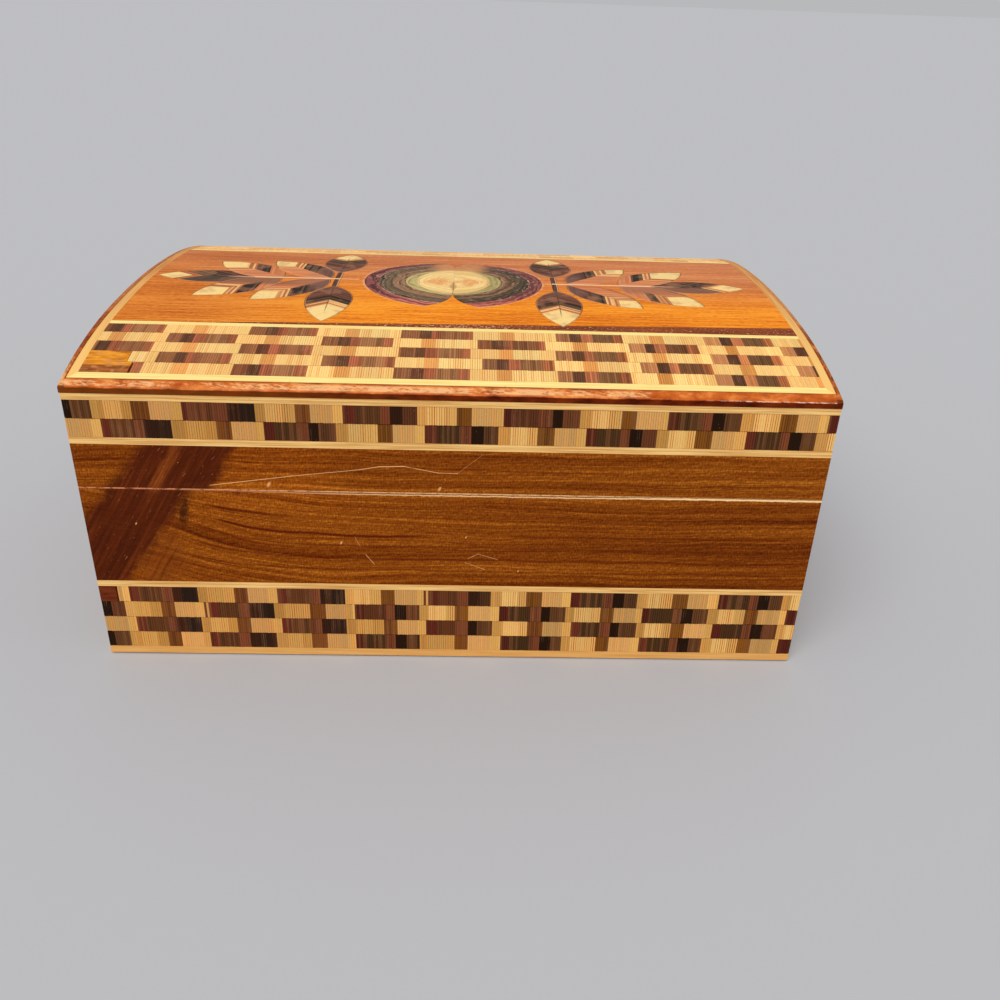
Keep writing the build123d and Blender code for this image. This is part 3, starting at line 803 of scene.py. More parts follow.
def inlaid_leaves(node):
    """Copy of a node's leaves, each cut into its straws."""
    whole = bmesh.new()
    whole.from_mesh(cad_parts[node].data)
    bmesh.ops.remove_doubles(whole, verts=whole.verts, dist=1e-6)
    bmesh.ops.dissolve_limit(whole, angle_limit=radians(0.05), verts=whole.verts, edges=whole.edges)
    whole.faces.layers.float.new("leaf_dye")
    whole.faces.layers.float.new("straw_chance")
    whole.verts.layers.float.new("leaf_edge")
    dice = random.Random(node)
    meshes = []
    loose = set(whole.verts)
    while loose:
        island = {min(loose, key=lambda v: v.index)}
        edge = set(island)
        while edge:
            edge = {e.other_vert(v) for v in edge for e in v.link_edges} - island
            island |= edge
        loose -= island
        part = whole.copy()
        chosen = {v.index for v in island}
        part.verts.ensure_lookup_table()
        bmesh.ops.delete(part, geom=[v for v in part.verts if v.index not in chosen], context="VERTS")
        middle = sum((v.co for v in part.verts), Vector()) / len(part.verts) / MM

        def distance(leaf):
            turn = radians(leaf[2])
            spot = Vector((leaf[0] + LEAF_MIDDLE * cos(turn), leaf[1] + LEAF_MIDDLE * sin(turn)))
            return (middle.xy - spot).length

        straws_of_leaf(part, min(LEAVES[node], key=distance), dice)
        mesh = bpy.data.meshes.new(node)
        part.to_mesh(mesh)
        part.free()
        meshes.append(mesh)
    whole.free()
    return joined(meshes)


def leaf_finish():
    """Dyed straw of the leaves, with stems, threads and worn edges over it."""
    leaf = Finish("leaf_straw")
    x, y = leaf.x, leaf.y
    rise, mix, noise = leaf.rise, leaf.mix, leaf.noise
    chance = leaf.attribute("straw_chance")
    kind = (leaf.attribute("leaf_dye") + 0.5) / STRAW_KINDS
    dark, maroon = kind < 0.6, kind < 0.15

    def by_kind(colours):
        """The colour of a kind of straw."""
        return leaf.ramp(kind, [(n / STRAW_KINDS, colour) for n, colour in enumerate(colours)], "CONSTANT")

    fibre = noise(leaf.place, 2.0, 3.0, 0.6)
    from_stem = abs(x - LEFT_STEM_X).math("MINIMUM", abs(x - RIGHT_STEM_X))
    vein = rise(from_stem, 0.2, 0.08) * rise(abs(y), 25.0, 20.0)
    in_shadow = (x < 0) + rise(x, 34.0, 40.0)
    low = rise(y, -0.4, -1.0) * in_shadow * dark
    shadow = mix(rise(x, -35.0, -44.0), dye(150, 100, 76), dye(96, 74, 60))
    base = rise(abs(y), 11.0, 7.5) * rise(from_stem, 8.0, 6.0) * maroon
    edge = rise(leaf.attribute("leaf_edge") + (fibre - 0.5) * 0.3, 0.26, 0.12)
    thread = rise(abs(y), 0.32, 0.14) * rise(abs(x + 1.6), 56.0, 50.0)
    colour = leaf.cover(
        by_kind(LEAF_COLOURS),
        (rise(chance, 0.3, 0.75), by_kind(LEAF_OTHERS)),
        (rise(noise(leaf.place, 0.25, 2.0), 0.5, 0.66) * 0.35, dye(186, 126, 90)),
        (vein * 0.7, dye(80, 52, 40)),
        (low * rise(y, -7.5, -4.5) * 0.65, shadow),
        (base * 0.5, dye(122, 88, 80)),
        (edge * 0.5, mix(kind > 0.6, dye(224, 166, 118), dye(132, 84, 42))),
        (thread * 0.8, THREAD_COLOUR),
    )
    return leaf.finish(leaf.shade(colour, 0.76 + fibre * 0.28 + chance * 0.2), fibre, 0.02)


leaf_straw = leaf_finish()
for node in LEAVES:
    new_piece(f"straw_{node}", inlaid_leaves(node), "lid", [node], leaf_straw)

# Rosette: rings of straw laid round its heart
HEART_DARK = dye(234, 188, 116)
HEART_LIGHT = dye(252, 216, 144)
MAROON_START = 17.9
RINGS = {
    "maroon_ring": (dye(92, 48, 46), dye(156, 90, 84)),
    "black_ring": (dye(58, 46, 36), dye(120, 98, 74)),
    "brown_ring": (dye(98, 70, 50), dye(160, 120, 88)),
    "green_ring": (dye(150, 136, 84), dye(204, 182, 118)),
    "heart": (HEART_DARK, HEART_LIGHT),
}


def ring_finish(name, dark, light):
    """Dyed straw laid in thin arcs round the middle of the rosette."""
    ring = Finish(name)
    rise, mix, noise = ring.rise, ring.mix, ring.noise
    y = ring.y
    across = ring.x - ROSETTE_X
    deep = y / ROSETTE_OVAL
    radius = (across * across + deep * deep) ** 0.5
    drift = (noise(ring.place, 0.14) - 0.5) * 4.5 + (noise(ring.place, 0.7) - 0.5) * 1.2
    chance = ring.chance(((radius + drift) / 0.5).floor(), across > 0, 3)
    rubbed = ring.grain((radius + drift) * 2.4, across * 0.4, deep * 0.4, 4.0, 0.7)
    cream = ring.ramp(chance, [(0.1, HEART_DARK), (0.9, HEART_LIGHT)])
    layers = []
    if name == "heart":
        cheek = rise(abs(abs(across) - 3.6) + abs(deep + 0.3) * 0.9 + (rubbed - 0.5) * 5.0, 5.0, 1.5)
        lens = rise(abs(across) + abs(deep + 4.4) * 0.22 + (rubbed - 0.5) * 1.2, 1.2, 0.6)
        layers += [(cheek * 0.85, dye(232, 158, 92)), (lens * 0.6, dye(164, 110, 62))]
    if name == "maroon_ring":
        rosy = ring.ramp(chance, [(0.2, dye(152, 70, 62)), (0.9, dye(226, 134, 116))])
        outline = rise(abs(radius + drift * 0.3 - MAROON_START), 0.3, 0.12) * rise(rubbed, 0.42, 0.56)
        layers += [(rise(y, -9.0, -16.0) * 0.8, rosy), (outline * 0.8, dye(216, 176, 150))]
    layers += [(rise(rubbed, 0.54, 0.66) * 0.55, mix(0.5, light, dye(236, 190, 150)))]
    if name == "green_ring":
        to_heart = (across * across + y * y / (1.22 + 0.35 * (y > 0))) ** 0.5 + (rubbed - 0.5) * 1.6
        layers += [(rise(to_heart, 9.0, 8.2) * 0.9, cream)]
    if name != "heart":
        from_back = ((across - 1.2) ** 2 / 64 + (y - 14.5) ** 2 / 60) ** 0.5 + (rubbed - 0.5) * 0.5
        faded = mix(rise(y, 12.5, 9.0), dye(222, 148, 94), cream)
        layers += [(rise(from_back, 1.1, 0.5) * 0.75, faded)]
    seam = rise(abs(across + drift * 0.15), 0.14, 0.05) * rise(y, 2.0, -3.0)
    layers += [(seam * 0.5, dye(120, 70, 40))]
    colour = ring.cover(ring.ramp(chance, [(0.1, dark), (0.9, light)]), *layers)
    return ring.finish(ring.shade(colour, 0.68 + rubbed * 0.64), rubbed, 0.03)


for name, shades in RINGS.items():
    dress(ring_finish(name, *shades), f"rosette_{name}")

# Glue between the two halves of the rosette
GLUE_HALF_WIDTH = 0.045
FRONT_NOTCH_Y = -9.4
BACK_NOTCH_Y = 12.4


def along_ridge(points):
    """Moves a flat strip onto the crown of the lid, with its length from front to back."""
    along, across, out = points.T
    y, z = on_arch(along, out - TOP_SKIN)
    return np.column_stack((ROSETTE_X - across, y, z))


glue = Finish("glue_line")
glue.finish(glue.mix(glue.rise(glue.y, 2.0, -4.0), dye(232, 184, 122), dye(158, 106, 62)))
glue_spots = ((FRONT_NOTCH_Y, -GLUE_HALF_WIDTH), (BACK_NOTCH_Y, GLUE_HALF_WIDTH))
glue_line = slab(glue_spots, TOP_SKIN - SLAB_SPARE, along_ridge)
new_piece("rosette_glue_line", glue_line, "lid", [], glue.material)


def stem_finish():
    """Stems: a dark and a pale strip side by side, crossed by the pale midrib."""
    stem = Finish("stem_straw")
    x, y = stem.x, stem.y
    pale_side = (x < 0) * (x - LEFT_STEM_X > 0.35) + (x > 0) * (x - RIGHT_STEM_X > 0.35)
    grain = stem.grain(x * 3.0, y * 0.2, 0, 3.0)
    colour = stem.cover(
        stem.ramp(grain, [(0.35, dye(72, 46, 34)), (0.65, dye(112, 78, 60))]),
        (pale_side, dye(214, 156, 108)),
        (stem.rise(abs(y), 0.45, 0.35), dye(246, 200, 156)),
    )
    return stem.finish(colour, grain, 0.02)


dress(stem_finish(), "stems")

# Field of the lid: orange veneer with a dark wedge along its front edge, and paler, pinker colours towards
# the back that are painted glare of the varnish
FIELD_FRONT = [(0.425, dye(200, 96, 4)), (0.49, dye(240, 132, 12)), (0.56, dye(255, 162, 38))]
FIELD_BACK_GLARE = [(0.41, dye(178, 94, 42)), (0.5, dye(210, 120, 62)), (0.58, dye(232, 150, 90))]
FIELD_LEFT = [(0.42, dye(164, 78, 16)), (0.5, dye(200, 106, 32)), (0.58, dye(226, 134, 60))]
WEDGE_WOOD = [(0.35, dye(96, 34, 8)), (0.65, dye(158, 78, 34))]
WEDGE_SLOPE = 0.0272


def field_finish():
    """Varnished veneer of the lid, with its wedge, specks, glue and thread, and painted glare towards the
    back.
    """
    field = Finish("lid_veneer", coat=0.2, coat_roughness=0.1)
    x, y = field.x, field.y
    rise, noise, grain, ramp = field.rise, field.noise, field.grain, field.ramp
    lines = grain(x * 0.06, y * 2.2, 0, 5.0, 0.66)
    flow = grain(x * 0.012, y * 0.14, 4)
    ticks = grain(x * 0.8, y * 3.4, 11, 3.0, 0.7)
    tone = lines * 0.5 + flow * 0.2 + ticks * 0.3
    wedge = (x + HALF_WIDTH) * rise(x, -64.0, -36.0) * WEDGE_SLOPE
    in_wedge = rise(y + FIELD_HALF_DEPTH - wedge, 0.12, -0.12)
    near_front = rise(y, -22.0, -29.0)
    speck = rise(noise(field.place, 1.3, 2.0, 0.5), 0.7, 0.76)
    from_rosette = ((x - ROSETTE_X) ** 2 + (y / ROSETTE_OVAL) ** 2) ** 0.5
    glue_noise = noise(field.place, 0.9, 3.0, 0.65)
    glue_edge = rise(abs(from_rosette - ROSETTE_RADIUS - 0.15 - glue_noise * 0.3), 0.4, 0.12)
    glue_edge = glue_edge * rise(abs(x - ROSETTE_X), 4.8, 5.8) * rise(glue_noise, 0.4, 0.56)
    chipped = rise(abs(x - 1.0), 22.0, 4.0) * 0.06
    chips = rise(noise(field.place, 2.2, 3.0, 0.7) + chipped, 0.59, 0.66) * near_front * in_wedge
    beyond_stem = rise(abs(x + 26.8), 2.8, 2.4) + rise(abs(x - 21.4), 1.4, 1.0)
    thread = rise(abs(y), 0.32, 0.16) * beyond_stem.clamped()
    colour = field.cover(
        ramp(tone, FIELD_FRONT),
        # Painted reflection: towards the back the field turns paler and pinker, standing for glare on the
        # varnish
        (rise(y + x * 0.06, -16.0, 12.0), ramp(tone, FIELD_BACK_GLARE)),
        (rise(x, -12.0, -62.0) * 0.7, ramp(tone, FIELD_LEFT)),
        (in_wedge, ramp(lines, WEDGE_WOOD)),
        (speck * (0.25 + near_front * 0.5), dye(252, 208, 158)),
        (glue_edge * 0.6, dye(236, 176, 136)),
        (chips * 0.65, dye(240, 188, 144)),
        (thread * 0.8, THREAD_COLOUR),
    )
    return field.finish(colour, lines, 0.03, 0.5)


dress(field_finish(), "lid_top_field")

# Pale strings
STRING_WOOD = (dye(250, 206, 130), dye(212, 152, 82))
BORDER_WOOD = (dye(255, 234, 152), dye(246, 208, 122))
SIDE_BORDER_WOOD = (dye(228, 166, 96), dye(194, 128, 66))


def dress_strings(name, wood, along, across, tint, *names):
    """Pale wooden strings with their fine grain along them, nicked and tinted."""
    string = Finish(name, roughness=0.42)
    rise = string.rise
    along, across = getattr(string, along), getattr(string, across)
    grain = string.grain(along * 0.06, across * 3.0, 0, 4.0, 0.6)
    nick = rise(string.grain(along * 0.9, across * 0.9, 7, 3.0, 0.6), 0.68, 0.74)
    colour = string.mix(rise(grain, 0.35, 0.65), wood[1], wood[0])
    colour = string.cover(colour, (nick * 0.5, dye(176, 116, 60)))
    if tint:
        colour = string.cover(colour, tint(string))
    dress(string.finish(colour, grain, 0.03), *names)


def dark_foot(string):
    """Darker lowest string, near the floor."""
    return string.rise(string.z, 3.0, 2.0) * 0.6, dye(222, 156, 80)


def pale_front(string):
    """Paler front part of the borders at the ends."""
    return string.rise(string.y, 10.0, -55.0) * 0.8, dye(252, 204, 122)


def both_halves(sides, part):
    """Nodes of one part on some sides of the base and the lid."""
    return [f"{half}_{side}_{part}" for half in HALVES for side in sides]


long_borders = ("lid_top_front_border", "lid_top_back_border", "lid_top_inner_strings")
end_borders = ("lid_top_left_border", "lid_top_right_border")
dress_strings("wall_string", STRING_WOOD, "x", "z", dark_foot, *both_halves(LONG_SIDES, "strings"))
dress_strings("end_string", STRING_WOOD, "y", "z", None, *both_halves(END_SIDES, "strings"))
dress_strings("front_border_string", BORDER_WOOD, "x", "y", None, *long_borders)
dress_strings("side_border_string", SIDE_BORDER_WOOD, "y", "x", pale_front, *end_borders)

# Stained edge of the lid panel, and its inner face stained as the boards are
INSIDE_STAIN = [(0.32, dye(92, 50, 24)), (0.5, dye(122, 72, 36)), (0.68, dye(156, 98, 52))]
PANEL_EDGE_STAIN = [(0.3, dye(76, 24, 6)), (0.7, dye(126, 50, 16))]
panel = Finish("panel_edge", roughness=0.34, coat=0.3)
edge_grain = panel.grain(panel.x * 0.25, panel.y * 0.25, panel.z, 4.0, 0.65)
inside_grain = panel.grain(panel.x * 0.03, panel.y * 1.1, 0, 5.0, 0.62)
inside = panel.rise(abs(panel.x), 70.0, 69.5) * panel.rise(abs(panel.y), 50.0, 49.5)
edge_colour = panel.ramp(edge_grain, PANEL_EDGE_STAIN)
panel_colour = panel.mix(inside, edge_colour, panel.ramp(inside_grain, INSIDE_STAIN))
dress(panel.finish(panel_colour, inside_grain, 0.05, 0.5), "lid_top_panel")


def board_finish(name, x_scale, y_scale, z_scale):
    """Stained softwood board with its grain lengthwise."""
    board = Finish(name, roughness=0.5, coat_roughness=0.2)
    x, y, z = board.x * x_scale, board.y * y_scale, board.z * z_scale
    grain = board.grain(x, y, z, 5.0, 0.62)
    pores = board.grain(x * 9, y * 9, z * 3)
    return board.finish(board.ramp(grain * 0.75 + pores * 0.25, INSIDE_STAIN), grain, 0.08, 0.5)


dress(board_finish("long_boards", 0.03, 1.1, 1.1), "base_bottom_panel", *both_halves(LONG_SIDES, "board"))
dress(board_finish("end_boards", 1.1, 0.03, 1.1), *both_halves(END_SIDES, "board"))

# Rounded rim of the lid, over the chamfer of the panel
RIM_STEPS = 9
RIM_ROUNDNESS = 0.75
RIM_SEAT = 0.05
END_STEPS = 48
STRAIGHT_STEPS = 16
END_FLATNESS = 0.35
CORNER_LENGTH = 6.0
RIM_TAPER = 30.0
LEFT_SPARE = 0.25
RIGHT_SPARE = 0.15
RIM_TOP = [(0.35, dye(160, 70, 20)), (0.52, dye(200, 98, 36)), (0.66, dye(230, 138, 66))]
RIM_LOW = [(0.35, dye(70, 14, 0)), (0.65, dye(118, 42, 6))]


def arch_height(y):
    """Height of the lid's surface over a depth."""
    crown = CROWN_Z + np.sqrt(CROWN_RADIUS**2 - y**2)
    shoulder = SHOULDER_Z + np.sqrt(SHOULDER_RADIUS**2 - (np.abs(y) - SHOULDER_Y) ** 2)
    return np.where(np.abs(y) <= CROWN_RADIUS * sin(CROWN_ANGLE), crown, shoulder)


def rim_section():
    """Half width, half depth, drop under the arch and place round the section of each line of the rim."""
    section = [
        (HALF_WIDTH - RIM_SEAT, HALF_DEPTH - RIM_SEAT, RIM_BOTTOM, -0.5),
        (RIM_OUTER_X, RIM_OUTER_Y, RIM_BOTTOM, -0.4),
    ]
    for n in range(RIM_STEPS):
        turn = n / (RIM_STEPS - 1) * pi / 2
        inward = 1 - cos(turn)
        drop = RIM_DROP * (RIM_ROUNDNESS * (1 - sin(turn)) + (1 - RIM_ROUNDNESS) * cos(turn)) - 0.01
        half_x = RIM_OUTER_X - inward * (RIM_OUTER_X - RIM_INNER_X)
        half_y = RIM_OUTER_Y - inward * (RIM_OUTER_Y - RIM_INNER_Y)
        section.append((half_x, half_y, drop, n / (RIM_STEPS - 1)))
    return section


def rim_mesh():
    """Closed ring that goes round the four edges with mitred corners."""
    section = rim_section()
    along = np.linspace(-1, 1, END_STEPS + 1)[:-1]
    straight = np.linspace(-1, 1, STRAIGHT_STEPS + 1)[:-1]
    rings = []
    for half_x, half_y, drop, _ in section:
        x = np.concatenate((straight * half_x, along * 0 + half_x, -straight * half_x, along * 0 - half_x))
        y = np.concatenate((straight * 0 - half_y, along * half_y, straight * 0 + half_y, -along * half_y))
        spare = np.where(x > 0, RIGHT_SPARE, LEFT_SPARE)
        share = spare + (1 - spare) * np.clip((y + half_y) / RIM_TAPER, 0, 1) * (x < 0)
        x = np.sign(x) * (np.minimum(np.abs(x), HALF_WIDTH) + np.maximum(np.abs(x) - HALF_WIDTH, 0) * share)
        from_corner = np.clip((half_y - np.abs(y)) / CORNER_LENGTH, 0, 1)
        flatter = 1 - END_FLATNESS * from_corner * (drop < RIM_BOTTOM)
        rings.append(np.column_stack((x, y, arch_height(y) - drop * flatter)))
    points = np.concatenate(rings) * MM
    count = len(rings[0])
    faces = []
    for k in range(len(section)):
        low, high = k * count, (k + 1) % len(section) * count
        for n in range(count):
            after = (n + 1) % count
            faces.append((low + n, low + after, high + after, high + n))
    mesh = bpy.data.meshes.new("rim")
    mesh.from_pydata([tuple(p) for p in points], [], faces)
    place = mesh.attributes.new("rim_place", "FLOAT", "POINT")
    place.data.foreach_set("value", np.repeat([level for *_, level in section], count))
    for face in mesh.polygons:
        face.use_smooth = 2 * count <= min(face.vertices)
    return mesh


def rim_finish():
    """Red-brown varnish of the rim, dark underneath, with pale streaks along its round that are partly rubbed
    varnish and partly painted sheen, and a painted glint at the right end of the front.
    """
    rim = Finish("rim_wood", roughness=0.32, coat=0.12, coat_roughness=0.1)
    x, y = rim.x, rim.y
    rise, mix, ramp = rim.rise, rim.mix, rim.ramp
    place = rim.attribute("rim_place")
    grain = rim.grain(x * 0.22, y * 0.22, rim.z * 0.6, 4.0, 0.6)
    brushed = rim.grain(x * 0.8 + place * 2.0, y * 0.8, place * 6.0, 4.0, 0.75)
    glossy = rim.grain(x * 0.09, y * 0.09, 0)
    mottle = rim.grain(0, y * 0.35, place * 2.0, 3.0, 0.6)
    on_end = rise(abs(x), HALF_WIDTH - 1.3, HALF_WIDTH - 1.0)
    end_dark = on_end * (0.25 + rise(mottle, 0.46, 0.56) * 0.5)
    to_back = rise(y, -36.0, -14.0) * on_end
    back_tint = mix(x > 0, dye(190, 116, 66), dye(220, 156, 96))
    top = rim.cover(ramp(grain, RIM_TOP), (end_dark, dye(104, 48, 20)), (to_back * 0.6, back_tint))
    low = mix(rise(x, 10.0, -60.0) * 0.45, ramp(grain, RIM_LOW), dye(134, 72, 16))

    before_right = rise(x, 42.0, 30.0)
    left_front = before_right * rise(y, -40.0, -50.0)
    mid_front = rise(x, -46.0, -24.0) * before_right * rise(y, 0.0, -40.0)
    # Painted sheen: pale streaks along the middle of the round, partly rubbed varnish and partly a painted
    # highlight, strongest on the front left of the middle and faint at the right
    sheen = rise(brushed * 0.6 + glossy * 0.4 + mid_front * 0.07 + left_front * 0.07, 0.53, 0.66)
    sheen = sheen * rise(abs(place - 0.58), 0.34, 0.14)
    sheen = sheen * (1 - rise(x, 40.0, 52.0) * (1 - on_end) * 0.75)
    # Painted glint: a thin pale highlight near the foot of the round at the right end of the front
    glint = rise(abs(place - 0.14), 0.1, 0.03) * rise(brushed, 0.46, 0.54)
    glint = glint * rise(x, 46.0, 60.0) * (1 - on_end)
    colour = rim.cover(
        low,
        (rise(place + (grain - 0.5) * 0.3, 0.04, 0.2), top),
        (sheen * 0.75, dye(248, 194, 132)),
        (glint * 0.8, dye(255, 226, 210)),
    )
    return rim.finish(colour, brushed, 0.04, 0.5)


new_piece("lid_rounded_rim", rim_mesh(), "lid", [], rim_finish())

# Brown veneer of the walls, whose lines on the front sweep down from this far left of its middle
VENEER_DYES = (dye(78, 24, 0), dye(112, 48, 2), dye(146, 74, 10), dye(196, 116, 32))
VENEER_STOPS = (0.39, 0.455, 0.525, 0.6)
SWEEP_REACH = 48.5
SWEEP_LENGTH = 11.0
SWEEP_DEPTH = 4.2
LINE_SWEEP_LENGTH = 10.0
HEARTWOOD_TOP = 50.5


def wall_veneer(name, along_axis, marked):
    """Brown-orange veneer with its grain along the wall, swept down from a knot where it is marked."""
    veneer = Finish(name, roughness=0.38)
    grain = veneer.grain
    along = getattr(veneer, along_axis)
    up = veneer.z
    level = up + (grain(along * 0.016, up * 0.05, 2) - 0.5) * 7.0
    if marked:
        below = veneer.rise(up, SPLIT_HEIGHT + 0.1, SPLIT_HEIGHT - 0.1)
        sweep = ((along + SWEEP_REACH) / -SWEEP_LENGTH).math("EXPONENT")
        level = level - sweep / (1 + sweep * 0.3) * SWEEP_DEPTH * below
    bands = grain(along * 0.006, level * 0.28, 1, 3.0)
    rings = grain(along * 0.008, level * 1.1, 8, 4.0, 0.62)
    streaks = grain(along * 0.09, level * 5.0, 5, 3.0, 0.65)
    ticks = grain(along * 3.2, up * 1.3, 9, 2.0, 0.6)
    flames = grain(along * 0.3 + up * 0.5, up * 2.6 - along * 0.55, 12, 3.0, 0.6)
    tone = bands * 0.2 + rings * 0.26 + streaks * 0.18 + ticks * 0.2 + flames * 0.16
    colour = veneer.ramp(tone, list(zip(VENEER_STOPS, VENEER_DYES)))
    colour = veneer.mix(veneer.rise(rings, 0.35, 0.29) * 0.6, colour, dye(80, 20, 0))
    return veneer, colour, tone


def heartwood(wood):
    """Layers of the dark slanted heartwood at the left, with a knot under the split."""
    x, z = wood.x, wood.z
    rise, grain, ramp = wood.rise, wood.grain, wood.ramp
    on_lid = z > SPLIT_HEIGHT
    ragged = (grain(x * 0.3, z * 0.3, 3, 4.0, 0.6) - 0.5) * 5.0
    lid_right = x + 43.0 + (HEARTWOOD_TOP - z) * 0.55 + ragged
    base_right = x + 52.3 + (SPLIT_HEIGHT - z) * 0.74 + ragged
    right = lid_right * on_lid + base_right * (1 - on_lid)
    left = x + 61.2 + (HEARTWOOD_TOP - z) * 0.86 + ragged
    slanted = x + (HEARTWOOD_TOP - z) * 0.6
    lines = grain(slanted * 1.1, z * 0.06, 6, 5.0, 0.66)
    dark = ramp(lines, [(0.34, dye(62, 18, 3)), (0.52, dye(82, 28, 6)), (0.7, dye(108, 44, 12))])
    light = ramp(lines, [(0.36, dye(96, 36, 8)), (0.66, dye(178, 92, 32))])
    brown_wood = ramp(lines, [(0.4, dye(84, 32, 6)), (0.62, dye(144, 68, 16))])
    core = rise(abs(slanted + 54.5 + ragged * 0.5), 2.0, 0.2) * rise(z, 39.0, 43.0)
    ticks = grain(x * 2.6, z * 3.2, 15, 3.0, 0.7)
    heart = wood.shade(wood.mix(core * 0.55, dark, light), 0.62 + ticks * 0.76)
    hairs = grain(x * 0.35 + z * 0.5, z * 2.4 - x * 3.0, 20)
    heart = wood.mix(rise(hairs, 0.66, 0.74) * 0.4, heart, dye(200, 120, 76))
    brown = rise(abs(x + 60.5 + (z - 25.0) * -0.3) + abs(z - 24.0) * 0.5 + ragged, 8.0, 2.0)
    rough = (grain(x * 1.1, z * 0.9, 17, 3.0, 0.7) - 0.5) * 5.0
    beside = (x + 54.9 - (z - 36.0) * 0.16) * 1.5
    above = (z - 35.8) * 0.5
    knot = rise((beside * beside + above * above) ** 0.5 + rough, 2.2, 0.5)
    return [
        (rise(right, 1.2, -1.6) * rise(left, -2.0, 2.0) * 0.95, heart),
        (brown * 0.6, brown_wood),
        (knot * 0.8, dye(48, 20, 6)),
    ]


def growth_line(wood, settles, sweep, start, end, width, strength):
    """Dark line of the grain that curves down from the knot and then runs level."""
    x, rise = wood.x, wood.rise
    swept = ((x + SWEEP_REACH) / -LINE_SWEEP_LENGTH).math("EXPONENT") * sweep
    wave = (wood.grain(x * 0.08, settles, 0) - 0.5) * 1.2
    line = rise(abs(wood.z - settles - swept - wave), width, width * 0.2)
    within = rise(x, start, start + 3.0) * rise(x, end, end - 12.0)
    return line * within * strength, dye(84, 16, 0)


def scratch(wood, start, end, width, strength):
    """Thin pale line from one point of the front to another."""
    (x0, z0), (x1, z1) = start, end
    x, rise = wood.x, wood.rise
    line = rise(abs(wood.z - (x - x0) * ((z1 - z0) / (x1 - x0)) - z0), width, width * 0.3)
    within = rise(x, x0 - 0.2, x0) * rise(x, x1 + 0.2, x1)
    broken = 0.6 + rise(wood.noise(wood.place, 0.8, 2.0), 0.3, 0.5) * 0.4
    return line * within * broken * strength, dye(250, 196, 130)


def fleck(wood, tone, fleck_x, fleck_z, size):
    """Small pale chip in the varnish."""
    aside = wood.x - fleck_x
    above = wood.z - fleck_z
    reach = ((aside - above * 0.4) ** 2 + (above * 0.62) ** 2) ** 0.5 + (tone - 0.5) * 0.8
    return wood.rise(reach, size, size * 0.3) * 0.75, dye(240, 184, 122)


def split_wear(wood):
    """Pale worn edges along the split, apart in the middle of the front with reddish wood between them."""
    x, rise = wood.x, wood.rise
    uneven = wood.grain(x * 0.5, wood.z * 1.0, 0, 4.0, 0.7)
    to_right = rise(x, -66.0, 0.0)
    at_right = rise(x, 24.0, 50.0)
    apart = rise(x, -50.0, -20.0) * (1 - at_right) * 0.26 + at_right * 0.1 + 0.16
    apart = apart + (uneven - 0.5) * 0.5 * to_right
    under_split = SPLIT_HEIGHT - wood.z
    between = rise(abs(under_split - apart * 0.5) - apart * 0.5, 0.03, -0.05)
    unbroken = 0.15 + to_right * 0.35
    broken = unbroken + rise(uneven, 0.4, 0.52) * (1 - unbroken)
    upper = rise(abs(under_split + 0.04), 0.18, 0.07) * (1 - at_right * 0.6) * broken
    lower = rise(abs(under_split - apart) - at_right * 0.08, 0.18, 0.07) * to_right
    worn = upper.math("MAXIMUM", lower * (0.8 + at_right * 0.2))
    pale = wood.mix(to_right, dye(242, 160, 110), dye(255, 210, 150))
    return [(between * 0.75, dye(122, 48, 34)), (worn, pale)]


# Height where each line of the grain settles, its sweep, start, end, width and strength
GROWTH_LINES = [
    (34.7, 2.5, -50.5, -30.0, 0.5, 0.85),
    (30.8, 3.4, -49.5, 0.0, 0.5, 0.9),
    (28.4, 3.0, -53.0, 60.0, 0.4, 0.5),
    (25.5, 2.2, -54.0, 76.0, 0.45, 0.55),
    (22.6, 1.6, -56.0, 76.0, 0.4, 0.5),
    (31.3, 0.0, 12.0, 80.0, 0.4, 0.55),
    (46.4, 0.0, -5.0, 40.0, 0.35, 0.4),
    (43.8, 0.0, 20.0, 76.0, 0.35, 0.4),
]
# Start and end of each scratch, its width and strength
SCRATCHES = [
    ((-48.8, 42.1), (-32.3, 44.5), 0.1, 0.85),
    ((-32.3, 44.5), (-19.0, 46.15), 0.09, 0.75),
    ((-19.0, 46.15), (-15.1, 46.9), 0.1, 0.85),
    ((-15.1, 46.9), (-10.1, 47.05), 0.12, 0.9),
    ((-10.1, 47.05), (-3.35, 45.75), 0.1, 0.75),
    ((-3.35, 45.75), (0.5, 45.68), 0.09, 0.7),
    ((0.5, 45.68), (5.5, 50.0), 0.1, 0.25),
    ((-20.4, 30.4), (-19.6, 28.6), 0.2, 0.35),
    ((-18.4, 26.4), (-16.8, 24.2), 0.2, 0.55),
    ((3.0, 25.9), (5.0, 27.0), 0.12, 0.5),
    ((5.0, 27.0), (9.0, 25.7), 0.12, 0.35),
    ((2.4, 24.8), (6.4, 23.2), 0.12, 0.4),
]
# Place and size of each fleck
FLECKS = [
    (-37.2, 42.5, 0.5),
    (-3.1, 42.1, 0.42),
    (-64.8, 33.0, 0.24),
    (-23.4, 29.2, 0.34),
    (2.4, 31.0, 0.24),
    (13.5, 22.9, 0.24),
]


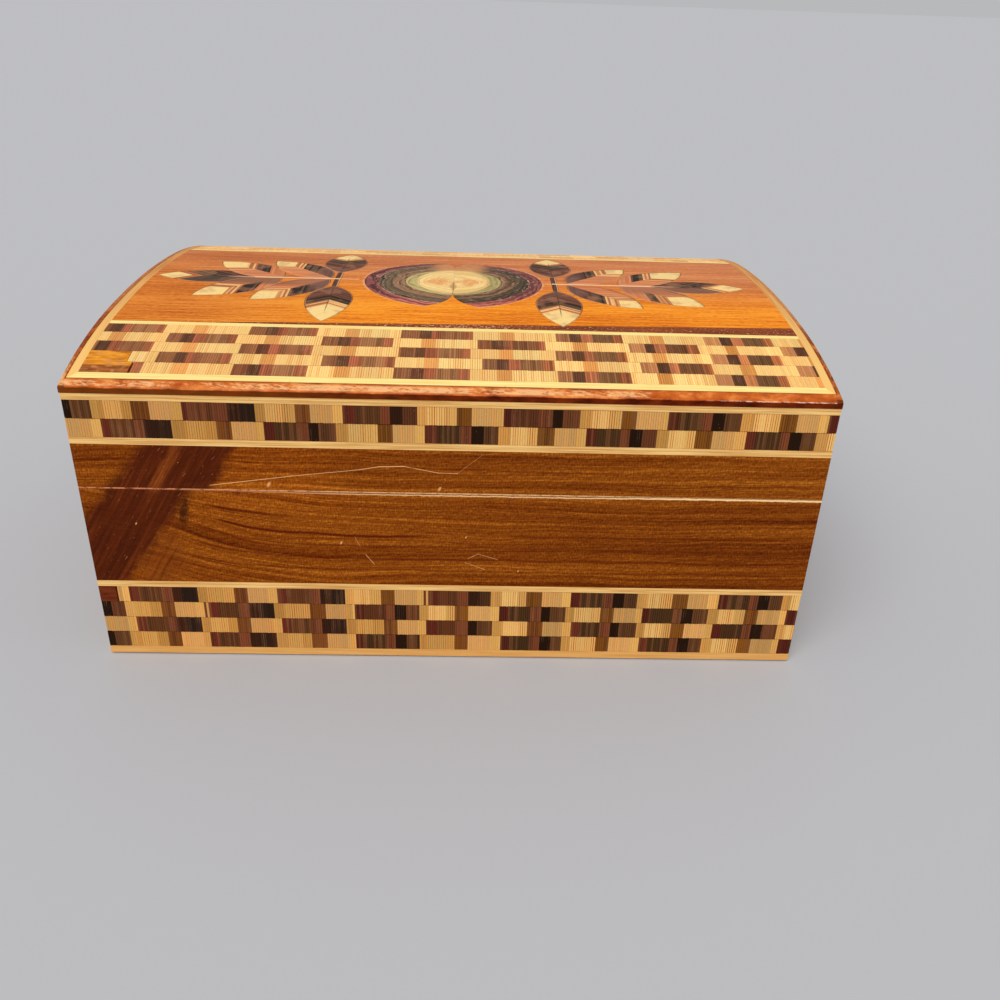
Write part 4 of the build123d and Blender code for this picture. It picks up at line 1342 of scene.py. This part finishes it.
def front_finish():
    """Veneer of the front, with its heartwood, lines, scratches, flecks and worn split, and painted shade
    towards the right.
    """
    wood, colour, tone = wall_veneer("front_veneer", "x", True)
    rise = wood.rise
    glow = rise(abs(wood.x + 37.0), 18.0, 5.0) * rise(wood.z, 34.0, 40.0)
    dust = rise(wood.noise(wood.place, 1.1, 1.0), 0.81, 0.84)
    # Painted shade: the front veneer darkens towards the right
    colour = wood.shade(wood.shade(colour, 1.03 - rise(wood.x, -30.0, 50.0) * 0.1), 1 + glow * 0.16)
    layers = heartwood(wood)
    layers += [growth_line(wood, *line) for line in GROWTH_LINES]
    layers += [scratch(wood, *line) for line in SCRATCHES]
    layers += [fleck(wood, tone, *spot) for spot in FLECKS]
    layers += [(dust * 0.5, dye(232, 160, 90)), *split_wear(wood)]
    return wood.finish(wood.cover(colour, *layers), tone, 0.05)


def plain_veneer(name, along_axis):
    """Veneer without marks."""
    wood, colour, tone = wall_veneer(name, along_axis, False)
    return wood.finish(colour, tone, 0.05)


dress(front_finish(), *both_halves(["front"], "veneer"))
dress(plain_veneer("back_veneer", "x"), *both_halves(["back"], "veneer"))
dress(plain_veneer("end_veneer", "y"), *both_halves(END_SIDES, "veneer"))

# Brass of the hinges
brass = Finish("brass", coat=0.0, metallic=1.0, specular=0.5)
tarnish = brass.noise(brass.place, 0.8, 4.0, 0.6)
brass_colour = brass.ramp(tarnish, [(0.35, dye(150, 108, 50)), (0.7, dye(206, 166, 92))])
hinge_parts = [f"{side}_hinge_{part}" for side in END_SIDES for part in ("base_leaf", "lid_leaf", "pin")]
brass.finish(brass_colour, roughness=0.28 + tarnish * 0.3)
dress(brass.material, *hinge_parts, "base_hinge_nails", "lid_hinge_nails")

# Floor, which reaches this many metres each way, and light
FLOOR_REACH = 30.0
floor_corners = [(x * FLOOR_REACH, y * FLOOR_REACH, 0) for x, y in ((-1, -1), (1, -1), (1, 1), (-1, 1))]
floor_mesh = bpy.data.meshes.new("floor")
floor_mesh.from_pydata(floor_corners, [], [(0, 1, 2, 3)])
floor = bpy.data.objects.new("floor", floor_mesh)
bpy.context.scene.collection.objects.link(floor)
floor_finish = Finish("pale_floor", roughness=0.8, coat=0.0)
floor_finish.surface.inputs["Base Color"].default_value = dye(190, 190, 192)
floor_mesh.materials.append(floor_finish.material)


def soft_sun(name, from_place, strength, softness):
    """Very soft light from one side, equally strong all over the floor."""
    lamp = bpy.data.lights.new(name, "SUN")
    lamp.energy = strength
    lamp.angle = softness
    light = bpy.data.objects.new(name, lamp)
    turn = (-Vector(from_place)).to_track_quat("-Z", "Y")
    light.matrix_world = turn.to_matrix().to_4x4()
    bpy.context.scene.collection.objects.link(light)


LIGHT_FROM = (-0.25, -0.75, 0.95)
LIGHT_STRENGTH = 2.12
LIGHT_SOFTNESS = radians(50)
soft_sun("overhead_light", LIGHT_FROM, LIGHT_STRENGTH, LIGHT_SOFTNESS)
world = bpy.data.worlds.new("studio")
world.use_nodes = True
background = world.node_tree.nodes["Background"]
background.inputs["Color"].default_value = dye(184, 185, 187)
background.inputs["Strength"].default_value = 1.0
bpy.context.scene.world = world
bpy.context.scene.view_settings.view_transform = "Standard"
